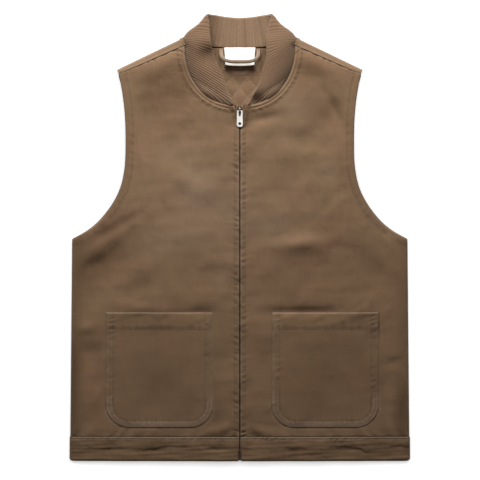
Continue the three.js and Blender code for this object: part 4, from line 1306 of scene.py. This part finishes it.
class VEST_OT_band(bpy.types.Operator):
    """Builds the doubled hem band from zip edge to zip edge round the back"""

    bl_idname = "vest.band"
    bl_label = "Hem band"

    FOOT_NOTCH = 1.7
    NOTCH_END = (9.0, 16.0)
    FRONT_STEPS = 116
    BACK_STEPS = 60

    def execute(self, context):
        sizes = context.scene.vest_sizes
        face = band_face(sizes.pucker)
        depth = HEM_SEAM_Y + BAND_LAP - HEM_Y
        rows = []
        for y in HEM_Y + steps_to(depth, fine=0.8, reach=6.0, coarse_count=22):
            half = float(band_half(np.array(y)))
            turn = half - ROLL + ROLL * np.sin(np.linspace(0, math.pi / 2, BAND_ROLL_STEPS))
            start = ZIP_EDGE + self.FOOT_NOTCH * (1 - smooth(y - HEM_Y, *self.NOTCH_END))
            over = np.concatenate([np.linspace(start, half - ROLL, self.FRONT_STEPS), turn[1:]])
            under = np.concatenate([turn[::-1][1:], np.linspace(half - ROLL, 0, self.BACK_STEPS)[1:]])
            level = np.full(len(over), y)
            deep = np.full(len(under), y)
            below = np.column_stack([under, deep, back_height(under, deep, half), 0 * under, 0 * under])
            halves = []
            for side in (-1, 1):
                above = np.column_stack([side * over, level, *face(side * over, level)])
                halves.append(np.vstack([above, below * (side, 1, 1, 1, 1)]))
            rows.append(np.vstack([halves[0], halves[1][::-1][1:]]))
        rows = np.array(rows)
        band = cloth_piece("hem_band_cloth", rows[..., :3], sizes.band, "canvas", canvas_material(),
                           "hem_band", wear=rows[..., 3], shade=rows[..., 4])
        self.face_outwards(band)
        return {"FINISHED"}

    @staticmethod
    def face_outwards(band):
        """Turns the strip so that its lower run faces the floor."""
        lowest = min(band.data.polygons, key=lambda face: face.center.z + abs(face.center.x))
        if lowest.normal.z > 0:
            band.data.flip_normals()


class VEST_OT_pockets(bpy.types.Operator):
    """Builds the two patch pockets with hemmed mouths"""

    bl_idname = "vest.pockets"
    bl_label = "Pockets"

    FINE_HEM = 34.0

    def execute(self, context):
        sizes = context.scene.vest_sizes
        corner = BASE_Y + POCKET_CORNER * (1 - np.cos(np.linspace(0, math.pi / 2, 26)))
        hem = MOUTH_Y - self.FINE_HEM
        levels = np.concatenate([
            corner, np.linspace(BASE_Y + POCKET_CORNER, hem, 46)[1:], np.linspace(hem, MOUTH_Y, 34)[1:],
        ])
        u = steps_to(2 * POCKET_HALF, fine=0.8, reach=12.0, coarse_count=62) / POCKET_HALF - 1
        for word, centre in POCKET_CENTRES.items():
            y = np.repeat(levels[:, None], len(u), axis=1)
            x = centre + u[None, :] * np.maximum(pocket_half(levels), 1.0)[:, None]
            z, wear, shade = pocket_face(centre, sizes.patch / MM, sizes.pucker)(x, y)
            grid = np.dstack([x, y, z])
            patch = cloth_piece("canvas_pocket_" + word, grid, sizes.patch, "canvas", canvas_material(),
                                "pocket_" + word, plan_uv=True, wear=wear, shade=shade)
        return {"FINISHED"}


def rows_through(points, place):
    """Centripetal curve through points, at places counted in points from the first."""
    ends = np.vstack([2 * points[0] - points[1], points, 2 * points[-1] - points[-2]])
    i = np.clip(np.floor(place).astype(int), 0, len(points) - 2)
    t = (place - i)[:, None]
    p0, p1, p2, p3 = (ends[i + k] for k in range(4))
    pairs = ((p0, p1), (p1, p2), (p2, p3))
    d0, d1, d2 = (np.sqrt(np.linalg.norm(b - a, axis=1))[:, None] for a, b in pairs)
    m1 = ((p1 - p0) / d0 - (p2 - p0) / (d0 + d1) + (p2 - p1) / d1) * d1
    m2 = ((p2 - p1) / d1 - (p3 - p1) / (d1 + d2) + (p3 - p2) / d2) * d1
    cubic = (2 * p1 - 2 * p2 + m1 + m2) * t ** 3 + (3 * p2 - 3 * p1 - 2 * m1 - m2) * t ** 2
    return cubic + m1 * t + p1


class VEST_OT_collar(bpy.types.Operator):
    """Builds the rib-knit collar: one folded strip with its ribs running from seam to edge"""

    bl_idname = "vest.collar"
    bl_label = "Collar"

    PARTS = ("seam", "middle", "edge")
    ACROSS = 22
    RIB_STEPS = 8
    COUNT_STEPS = 2000

    # Where the seam runs on the front, and how far seam and front ends lie under its face
    FRONT_END_Y = 316.0
    FRONT_FROM_X = 58.0
    SEAM_DROP = 1.2
    END_DROP = 2.8

    # How the edge leans over at the front and flops inwards at the +X shoulder: way, middle, reach
    LEAN = (4.0, 258.0, 34.0)
    FLOP = (5.0, 330.0, 24.0)
    FLOP_FROM_X = (15.0, 42.0)

    # How the foot is tucked under the fronts, which begin where the seam is this high
    TUCK = 3.6
    BACK_TUCK = 0.6
    TUCK_DROP = 3.5
    TUCK_HEIGHT = (4.0, 9.0)

    # Ribs: share on the inner face and where the knit is stretched, shape of a crest, rounding of the edge
    INNER_RIB = 0.06
    STRETCHED_RIB = 0.55
    STRETCHED_Y = (300.0, 332.0)
    CREST = 0.85
    EDGE_ROUND = 2.4
    EDGE_RIB = 0.3

    # Crests paled by rubbing and by painted highlight, grooves in painted shade, painted highlight on the
    # foot in front, painted shade on the top, and on the inner face a paler painted highlight, streaks and
    # the painted shadow of the front flap
    CREST_WEAR_AND_HIGHLIGHT = 0.42
    GROOVE_SHADE = 0.48
    INNER_GROOVE = 0.22
    FOOT_Y = (238.0, 275.0)
    FOOT_HIGHLIGHT = 0.45
    FOOT_CALM = 0.4
    TOP_Y = (250.0, 305.0)
    TOP_SHADE = 0.24
    RIGHT_SHARE = 0.6
    INNER_HIGHLIGHT = 0.66
    STREAK_WEAR = 0.11
    STREAK_SHADE = 0.05
    INNER_FLAP_SHADOW = dict(at=-43.0, breadth=11.0, amount=0.42)
    INNER_FLAP_SHADOW_Y = (318.0, 330.0)

    def execute(self, context):
        sizes = context.scene.vest_sizes
        columns = self.sections()
        pitch, depth = sizes.rib_pitch / MM, sizes.rib_depth / MM
        place = np.linspace(0, len(columns["seam"]) - 1, self.COUNT_STEPS)
        ribs = self.rib_count(columns, place)
        counts = np.arange(0, ribs[-1], pitch / self.RIB_STEPS)
        place = np.interp(counts, ribs, place)
        seam, middle, edge = (rows_through(columns[part], place) for part in self.PARTS)
        sheet = self.strip(seam, middle, edge)
        # Painted shade in the collar's dents
        hollow = np.zeros(sheet.shape[:2])
        for x, y, radius, drop, dark in zip(*COLLAR_DENTS.values()):
            dent = bell(np.hypot(sheet[..., 0] - x, sheet[..., 1] - y), radius)
            sheet[..., 2] -= drop * dent
            hollow += dark * dent
        normal = np.cross(np.gradient(sheet, axis=0), np.gradient(sheet, axis=1))
        normal /= np.linalg.norm(normal, axis=2)[..., None]
        stretched = lerp(1.0, self.STRETCHED_RIB, smooth(middle[:, 1], *self.STRETCHED_Y))
        rib = 1 - stretched * (1 - np.abs(np.sin(math.pi * counts / pitch)) ** self.CREST)
        steps = np.linalg.norm(np.diff(sheet, axis=1, append=sheet[:, -1:]), axis=2)
        left = np.cumsum(steps[:, ::-1], axis=1)[:, ::-1]
        rounded = np.sqrt(np.clip(1 - (1 - np.clip(left / self.EDGE_ROUND, 0, 1)) ** 2, 0, 1))
        ribbed = depth * (rib[:, None] - 0.5) * np.clip(rounded, self.EDGE_RIB, 1)
        wall = sizes.knit / MM / 2 * rounded
        outer = sheet + normal * (wall + ribbed)[..., None]
        inner = sheet - normal * (wall + self.INNER_RIB * ribbed)[..., None]
        self.make(context, outer, inner, counts, rib, hollow)
        return {"FINISHED"}

    def sections(self):
        """Both halves of the table, with the seam and the front ends set under the fronts' face."""
        columns = {}
        for part in self.PARTS:
            half = np.column_stack([COLLAR[part + axis] for axis in ("_x", "_y", "_z")])
            columns[part] = np.vstack([half, half[-2::-1] * (-1, 1, 1)])
        seam = columns["seam"]
        front = (seam[:, 1] < self.FRONT_END_Y) & (np.abs(seam[:, 0]) > self.FRONT_FROM_X)
        seam[front, 2] = front_height(seam[front, 0], seam[front, 1]) - self.SEAM_DROP
        for part, rows in (("middle", (0, -1)), ("edge", (0, 1, -2, -1))):
            for row in rows:
                columns[part][row, 2] = front_height(*columns[part][row, :2]) - self.END_DROP
        return columns

    def strip(self, seam, middle, edge):
        """Middle face of the folded knit, from its tucked foot to its edge."""
        pull = 2 * middle - (seam + edge) / 2
        s = np.sin(np.linspace(0, math.pi / 2, self.ACROSS))[None, :, None]
        sheet = seam[:, None] * (1 - s) ** 2 + 2 * pull[:, None] * s * (1 - s) + edge[:, None] * s ** 2
        way, at, reach = self.LEAN
        sheet[..., 0] += way * s[..., 0] ** 2 * bell(sheet[..., 1] - at, reach)
        way, at, reach = self.FLOP
        flop = way * s[..., 0] ** 2 * bell(sheet[..., 1] - at, reach)
        sheet[..., 0] -= flop * smooth(edge[:, None, 0], *self.FLOP_FROM_X)
        under = smooth(seam[:, 2], *self.TUCK_HEIGHT)
        tuck = lerp(self.BACK_TUCK, self.TUCK, under) / np.linalg.norm(middle - seam, axis=1)
        tucked = seam - (middle - seam) * tuck[:, None]
        tucked[:, 2] = seam[:, 2] - self.TUCK_DROP * under
        return np.concatenate([tucked[:, None], (0.5 * (tucked + seam))[:, None], sheet], axis=1)

    def rib_count(self, columns, place):
        """Running distance across the ribs, halfway between seam and edge."""
        seam, middle, edge = (rows_through(columns[part], place) for part in self.PARTS)
        rise = edge - seam
        rise /= np.linalg.norm(rise, axis=1)[:, None]
        step = np.diff(middle, axis=0)
        step -= rise[1:] * np.sum(step * rise[1:], axis=1)[:, None]
        return np.concatenate([[0], np.cumsum(np.linalg.norm(step, axis=1))])

    def tones(self, outer, back, counts, rib, hollow):
        """Paling from rubbing and painted highlight, and painted shade, of the outer face, then of the inner
        one.
        """
        ridge = rib[:, None]
        foot = 1 - smooth(outer[..., 1], *self.FOOT_Y)
        share = np.where(outer[..., 0] < 0, 1.0, self.RIGHT_SHARE)
        # Painted shade in the grooves and on the top; crests paled by rubbing and painted highlight, and
        # painted highlight on the foot
        groove = self.GROOVE_SHADE * (1 - ridge)
        shade = groove * (1 - self.FOOT_CALM * foot) + hollow
        shade = shade + self.TOP_SHADE * smooth(outer[..., 1], *self.TOP_Y) * share
        wear = self.CREST_WEAR_AND_HIGHLIGHT * ridge ** 3 + self.FOOT_HIGHLIGHT * foot
        streak = wander(counts, 0 * counts, length=4.2, seed=71)[:, None]
        # Painted shadow of the front flap on the inner face, and a painted highlight over the whole inner
        # face
        fold = mark(back[..., 0], **self.INNER_FLAP_SHADOW) * smooth(back[..., 1], *self.INNER_FLAP_SHADOW_Y)
        inner_shade = self.INNER_GROOVE * groove + fold + self.STREAK_SHADE * np.maximum(-streak, 0)
        inner_wear = self.INNER_HIGHLIGHT + self.STREAK_WEAR * streak + 0 * fold
        return np.hstack([wear, inner_wear]), np.hstack([shade, inner_shade])

    def make(self, context, outer, inner, counts, rib, hollow):
        """Closes both faces into one strip and dresses it."""
        colours = context.scene.vest_colours
        sizes = context.scene.vest_sizes
        back = inner[:, -2::-1]
        loop = np.concatenate([outer, back], axis=1)
        rows, columns = loop.shape[:2]
        ids = np.arange(rows * columns).reshape(rows, columns)
        wrapped = np.concatenate([ids, ids[:, :1]], axis=1)
        quads = np.stack([wrapped[:-1, :-1], wrapped[:-1, 1:], wrapped[1:, 1:], wrapped[1:, :-1]], axis=2)
        faces = quads.reshape(-1, 4).tolist()
        faces += [ids[0, ::-1].tolist(), ids[-1].tolist()]
        across = np.cumsum(np.linalg.norm(np.diff(loop, axis=1, prepend=loop[:, :1]), axis=2), axis=1)
        uv = np.dstack([np.repeat(counts[:, None], columns, axis=1), across]).reshape(-1, 2)
        wear, shade = self.tones(outer, back, counts, rib, hollow)
        collar = mesh_object("rib_collar", loop.reshape(-1, 3), faces, uv, wear=wear, shade=shade)
        whole = bmesh.new()
        whole.from_mesh(collar.data)
        bmesh.ops.recalc_face_normals(whole, faces=whole.faces)
        whole.to_mesh(collar.data)
        whole.free()
        knit = cloth_material("rib knit", colours.knit, colours.knit_worn_and_lit, "Knit loops",
                              threads=1 / sizes.rib_pitch, bump=0.0003, sheen=0.07, contrast=0.3)
        settle(collar, "vest", "rib_knit", knit, "collar")


class VEST_OT_lining(bpy.types.Operator):
    """Builds the back's lining, quilted in diamonds"""

    bl_idname = "vest.lining"
    bl_label = "Quilted lining"

    LEAN = math.radians(52)
    PILLOW = 0.55
    SUNK = 0.35
    FLAT_NECK = (2.0, 22.0)
    LABEL_SHADE_Y = (278.0, 300.0)

    def execute(self, context):
        sizes, colours = context.scene.vest_sizes, context.scene.vest_colours
        plan = back_plan(HEM_SEAM_Y + LINING_INSET, LINING_INSET, LINING_NECK_INSET, rows=205, columns=92)
        x, y = plan[..., 0], plan[..., 1]
        cell = sizes.quilt_cell / MM
        across, down = x * math.sin(self.LEAN), (y - BACK_NECK_Y) * math.cos(self.LEAN)
        pillows = [np.abs(np.sin(math.pi * row / cell)) for row in (across - down, across + down)]
        puff = (pillows[0] * pillows[1]) ** self.PILLOW
        lines = np.minimum(pillows[0], pillows[1]) * cell / math.pi
        quilted = smooth(BACK_NECK_Y - y, *self.FLAT_NECK)
        z = LINING_TOP + sizes.quilt_puff / MM * (puff - self.SUNK) * quilted
        wear = mark(lines, breadth=1.2, amount=0.8) * quilted
        # Painted shadow on the lining beside the label
        shade = mark(x, at=38.0, breadth=9.0, amount=0.5) * smooth(y, *self.LABEL_SHADE_Y)
        satin = plain_cloth("lining cloth", colours.lining, colours.lining_line, threads=3200.0, bump=0.00015,
                            sheen=0.1, contrast=0.15)
        lining = cloth_piece("quilted_lining", np.dstack([x, y, z]), sizes.lining, "lining", satin,
                             "back_lining", mirror=True, plan_uv=True, wear=wear, shade=shade)
        return {"FINISHED"}


class VEST_OT_neck_trims(bpy.types.Operator):
    """Builds the blank woven label and the hanger loop that passes over it"""

    bl_idname = "vest.neck_trims"
    bl_label = "Label and hanger loop"

    ROWS = 40
    COLUMNS = 44
    LOOP_ROWS = 100
    LOOP_COLUMNS = 10

    # Label: how far its sides draw in and its corners rise, unrest, painted shadow under the loop
    WAIST = 0.07
    WAIST_TURN = 0.62
    CORNER_RISE = 0.055
    UNREST = 0.25
    LOOP_SHADE = 0.5

    # Loop: height of its rounded middle, painted shade towards its inner edge, painted highlight along its
    # outer edge
    ROUNDING = 0.5
    INNER_SHADE = 0.6
    INNER_FROM = (0.35, 1.0)
    OUTER_HIGHLIGHT_TO = (0.1, 0.4)

    def execute(self, context):
        colours = context.scene.vest_colours
        down = np.linspace(0, 1, self.ROWS)
        across = np.linspace(-1, 1, self.COLUMNS)
        x = LABEL_HALF * across[None] * (1 - self.WAIST * np.sin(self.WAIST_TURN * math.pi * down))[:, None]
        y = LABEL_TOP - LABEL_LENGTH * down[:, None] * (1 - self.CORNER_RISE * across[None] ** 2)
        edge = np.minimum(LABEL_HALF - np.abs(x), LABEL_LENGTH * (1 - down)[:, None])
        z = LABEL_HEIGHT + (LABEL_BOW * np.sin(down * math.pi) + LABEL_LIFT * down ** 2)[:, None]
        z = z + self.UNREST * wander(x, y, length=26.0, seed=51)
        z = z + mark(edge, at=1.6, breadth=0.8, amount=0.25)
        below_loop = smooth(LOOP_TOP - LOOP_DROP - y, 2.0, LOOP_WIDTH) * (1 - across[None] ** 4)
        # Painted shade along the label's edge and painted shadow under the loop
        shade = mark(edge, at=1.0, breadth=0.5, amount=0.12) + self.LOOP_SHADE * below_loop
        wear = mark(edge, breadth=0.8, amount=0.3)
        white = plain_cloth("label weave", colours.label, lighter(colours.label, 1.1), threads=2600.0,
                            bump=0.00015, sheen=0.0, cloud=0.05, contrast=0.06)
        label = cloth_piece("blank_label", np.dstack([x, y, z]), LABEL_CLOTH * MM, "label", white,
                            "neck_label", wear=wear, shade=shade)
        self.hanger_loop(colours)
        return {"FINISHED"}

    def hanger_loop(self, colours):
        """Flat tape bent in a squarish half ring, bowed up in the middle."""
        turn = np.linspace(0, math.pi, 181)
        power = 2 / LOOP_SQUARENESS
        middle = np.column_stack([
            LOOP_HALF * np.sign(np.cos(turn)) * np.abs(np.cos(turn)) ** power,
            LOOP_TOP - LOOP_DROP * np.abs(np.sin(turn)) ** power,
        ])
        middle = points_at(middle, np.linspace(0, running(middle)[-1], self.LOOP_ROWS))
        ahead = np.gradient(middle, axis=0)
        ahead /= np.linalg.norm(ahead, axis=1)[:, None]
        across = np.column_stack([ahead[:, 1], -ahead[:, 0]])
        rise = smooth(LOOP_TOP - middle[:, 1], 0, LOOP_DROP)
        share = np.linspace(0, 1, self.LOOP_COLUMNS)
        plan = middle[:, None] - across[:, None] * (LOOP_WIDTH * share)[None, :, None]
        lift = LOOP_HEIGHT + LOOP_BOW * rise[:, None] + self.ROUNDING * np.sin(math.pi * share)[None]
        # Painted shade towards one edge of the tape and painted highlight along the other
        dark = self.INNER_SHADE * smooth(share, *self.INNER_FROM)[None] * rise[:, None] ** 3
        worn = (1 - smooth(share, *self.OUTER_HIGHLIGHT_TO))[None] + 0 * lift
        material = plain_cloth("loop tape", colours.loop, lighter(colours.loop, 1.5), threads=2000.0,
                               bump=0.0003)
        return cloth_piece("loop_tape", np.dstack([plan, lift]), LOOP_CLOTH * MM, "loop_tape", material,
                           "hanger_loop", wear=worn, shade=dark)


def zip_level(x, y):
    """Height of the zip's tapes, sunk under the fronts' face."""
    return front_height(x, y) - ZIP_DROP


class VEST_OT_zip(bpy.types.Operator):
    """Builds the zip's tapes and teeth and plates its metal parts"""

    bl_idname = "vest.zip"
    bl_label = "Zip"

    TOP_LAP = 2.0
    ROWS = 190
    COLUMNS = 14

    def execute(self, context):
        sizes, colours = context.scene.vest_sizes, context.scene.vest_colours
        y = np.linspace(ZIP_FOOT_Y, ZIP_TOP_Y + self.TOP_LAP, self.ROWS)
        inner = TAPE_EDGE + TAPE_SPREAD * smooth(y, SLIDER_Y - 2 * SLIDER_LENGTH, SLIDER_Y - SLIDER_LENGTH)
        share = np.linspace(0, 1, self.COLUMNS)
        for side, word in ((-1, "left"), (1, "right")):
            x = side * (inner[:, None] + TAPE_WIDTH * share[None])
            level = np.repeat(y[:, None], len(share), axis=1)
            inwards = TAPE_WIDTH * share[None]
            z = zip_level(x, level) - mark(inwards, at=2.0, breadth=0.8, amount=0.2)
            wear = mark(inwards, breadth=1.0) + 0 * z
            tape = cloth_piece("tape_" + word, np.dstack([x, level, z]), TAPE_CLOTH * MM, "zip_tape",
                               tape_material(), "zip_tape_" + word, wear=wear, shade=0 * z)
        self.teeth(sizes, colours)
        self.plate(colours)
        return {"FINISHED"}

    @staticmethod
    def teeth(sizes, colours):
        """Two rows of teeth, half a pitch apart, up to the slider."""
        pitch = sizes.tooth_pitch / MM
        top = SLIDER_Y - SLIDER_LENGTH / 2 - SEAM_GAP
        lines = []
        for side in (-1, 1):
            y = np.arange(ZIP_FOOT_Y + 1 + (pitch / 2 if side > 0 else 0), top - 1, pitch)
            x = np.full(len(y), side * TOOTH_X)
            lines.append(np.column_stack([x, y, zip_level(x, y) - TOOTH_DROP]))
        shape = tooth("tooth", length=TOOTH_SHARE * sizes.tooth_pitch, width=0.0024, height=0.0019)
        moulded = plain_cloth("moulded teeth", lighter(colours.tape, 0.75), colours.tape, threads=900.0,
                              bump=0.0001, mapped=False)
        teeth = repeat_along("zip_chain", lines, shape, sizes.tooth_pitch, moulded)
        settle(teeth, "vest", "zip_teeth", moulded, "zip_teeth")

    @staticmethod
    def plate(colours):
        """Dresses the slider, pull and stop, which stay as they come from the frame."""
        nickel = metal_material("nickel plate", colours.metal, dullness=0.36)
        dark = metal_material("darkened metal", colours.dark_metal, dullness=0.34)
        for name, metal in (("zip_slider", dark), ("zip_pull", nickel), ("zip_stop", dark)):
            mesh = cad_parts[name].data
            mesh.materials.clear()
            mesh.materials.append(metal)


class VEST_OT_stitching(bpy.types.Operator):
    """Sews the visible stitch lines along the seams"""

    bl_idname = "vest.stitching"
    bl_label = "Stitching"

    PROUD = 0.15
    POINTS = 90
    BAND_POINTS = 140

    def execute(self, context):
        sizes, colours = context.scene.vest_sizes, context.scene.vest_colours
        lines = []
        paths = front_paths()
        for side in (-1, 1):
            face = front_face(side, sizes.pucker)
            for kind in ("zip", "neck", "armhole"):
                for inset in SEAMS[kind]["lines"]:
                    lines.append(self.laid(inset_path(paths[kind], inset) * (side, 1), face))
        for centre in POCKET_CENTRES.values():
            face = pocket_face(centre, sizes.patch / MM, sizes.pucker)
            for inset in SEAMS["pocket"]["lines"]:
                lines.append(self.laid(inset_path(pocket_edge(centre), inset), face))
            reach = POCKET_HALF - SEAMS["pocket"]["lines"][0]
            x = np.linspace(centre - reach, centre + reach, self.POINTS)
            lines.append(self.laid(path(x, MOUTH_Y - SEAMS["mouth"]["lines"][0]), face))
        for side in (-1, 1):
            x = side * np.linspace(ZIP_EDGE + 1, HALF_HEM - ROLL, self.BAND_POINTS)
            level = HEM_SEAM_Y + BAND_LAP - SEAMS["band"]["lines"][0]
            lines.append(self.laid(path(x, level), band_face(sizes.pucker)))
        shape = bead("stitch", sizes.stitch_length, sizes.thread, THREAD_FLATNESS * sizes.thread)
        thread = plain_cloth("sewing thread", colours.thread, lighter(colours.thread, 1.2), threads=2500.0,
                             bump=0.0001, mapped=False)
        sewn = repeat_along("stitches", lines, shape, sizes.stitch_pitch, thread)
        sewn.data.materials.clear()
        sewn.data.materials.append(thread)
        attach(sewn, "vest")
        return {"FINISHED"}

    def laid(self, line, face):
        """Points of a stitch line, just above the groove that it lies in."""
        return np.column_stack([line, face(line[:, 0], line[:, 1])[0] + self.PROUD])


class VEST_OT_stage(bpy.types.Operator):
    """Sets the pale floor, the lights and the camera straight above"""

    bl_idname = "vest.stage"
    bl_label = "Stage"

    KEY = dict(size=(1.0, 0.36), place=(-0.1, 1.35, 0.66), target=(0, 0.05, 0))
    FILL = dict(size=(2.4, 2.4), place=(0, 0.2, 2.3), target=(0, 0, 0))
    WASH = dict(size=(1.8, 1.4), place=(0, 0.35, 1.6), target=(0, 0, 0))
    AIR = (1, 0.99, 0.98, 1)
    FRAME_MIDDLE = (0.00033, -0.00495)
    VEST_MIDDLE_Z = 0.012
    SENSOR = 36.0
    FLOOR_REACH = 4000.0
    FLOOR_Z = -0.15
    PAPER = ((0.9, 0.9, 0.9, 1), (0.93, 0.93, 0.93, 1))

    def execute(self, context):
        stage = context.scene.vest_stage
        floor = self.floor(stage.floor_glow)
        key = self.light("key", stage.key_power, **self.KEY)
        self.light("fill", stage.fill_power, **self.FILL)
        wash = self.light("floor wash", stage.wash_power, **self.WASH)
        self.limit(key, floor, "EXCLUDE")
        self.limit(wash, floor, "INCLUDE")
        world = context.scene.world or bpy.data.worlds.new("studio")
        context.scene.world = world
        world.use_nodes = True
        backdrop = world.node_tree.nodes["Background"]
        feed_all(world.node_tree, backdrop, Color=self.AIR, Strength=stage.ambient)
        camera = placed("camera", bpy.data.cameras.new("camera"))
        camera.location = (*self.FRAME_MIDDLE, stage.camera_height + self.VEST_MIDDLE_Z)
        camera.data.sensor_width = self.SENSOR
        camera.data.lens = self.SENSOR * stage.camera_height / stage.frame_width
        context.scene.camera = camera
        context.scene.view_settings.view_transform = "Standard"
        return {"FINISHED"}

    def floor(self, glow):
        """Wide sheet of pale paper, lit a little from below."""
        corners = ((-1, -1), (1, -1), (1, 1), (-1, 1))
        points = [(x * self.FLOOR_REACH, y * self.FLOOR_REACH, self.FLOOR_Z) for x, y in corners]
        floor = mesh_object("floor", points, [(0, 1, 2, 3)])
        paper, tree, shader = new_material("white paper")
        place = node(tree, "ShaderNodeTexCoord").outputs["Object"]
        grain = noise(tree, place, scale=300.0, detail=2.0)
        tint = blend_colours(tree, "MIX", grain, *self.PAPER)
        feed_all(tree, shader, Base_Color=tint, Roughness=0.9, Specular_IOR_Level=0.1,
                 Emission_Color=(1, 1, 1, 1), Emission_Strength=glow)
        floor.data.materials.append(paper)
        return floor

    @staticmethod
    def limit(lamp, floor, state):
        """Keeps a lamp off the floor, or on the floor alone."""
        group = bpy.data.collections.new(lamp.name + " and floor")
        group.objects.link(floor)
        group.collection_objects[0].light_linking.link_state = state
        lamp.light_linking.receiver_collection = group

    @staticmethod
    def light(name, power, size, place, target):
        """Rectangular lamp that the camera doesn't see."""
        lamp = placed(name, bpy.data.lights.new(name, "AREA"))
        lamp.data.energy = power
        lamp.data.shape = "RECTANGLE"
        lamp.data.size, lamp.data.size_y = size
        lamp.location = place
        lamp.rotation_euler = (Vector(target) - Vector(place)).to_track_quat("-Z", "Y").to_euler()
        lamp.visible_camera = False
        return lamp


class VEST_PT_panel(bpy.types.Panel):
    """Lists the vest's sizes, colours and building steps"""

    bl_idname = "VEST_PT_panel"
    bl_label = "Canvas vest"
    bl_space_type = "VIEW_3D"
    bl_region_type = "UI"
    bl_category = "Vest"

    def draw(self, context):
        for group in (context.scene.vest_sizes, context.scene.vest_colours, context.scene.vest_stage):
            box = self.layout.box()
            for name in group.__annotations__:
                box.prop(group, name)
        for operator in OPERATORS:
            self.layout.operator(operator.bl_idname)


OPERATORS = (
    VEST_OT_stage, VEST_OT_finishes, VEST_OT_fronts, VEST_OT_back, VEST_OT_band, VEST_OT_pockets,
    VEST_OT_collar, VEST_OT_lining, VEST_OT_neck_trims, VEST_OT_zip, VEST_OT_stitching,
)
CLASSES = (VestSizes, VestColours, VestStage, *OPERATORS, VEST_PT_panel)


def register():
    for made in CLASSES:
        bpy.utils.register_class(made)
    bpy.types.Scene.vest_sizes = PointerProperty(type=VestSizes)
    bpy.types.Scene.vest_colours = PointerProperty(type=VestColours)
    bpy.types.Scene.vest_stage = PointerProperty(type=VestStage)


def unregister():
    del bpy.types.Scene.vest_sizes
    del bpy.types.Scene.vest_colours
    del bpy.types.Scene.vest_stage
    for made in reversed(CLASSES):
        bpy.utils.unregister_class(made)


def main():
    register()
    bpy.ops.vest.stage()
    bpy.ops.vest.finishes()
    bpy.ops.vest.fronts()
    bpy.ops.vest.back()
    bpy.ops.vest.band()
    bpy.ops.vest.pockets()
    bpy.ops.vest.collar()
    bpy.ops.vest.lining()
    bpy.ops.vest.neck_trims()
    bpy.ops.vest.zip()
    bpy.ops.vest.stitching()


if __name__ == "__main__":
    main()
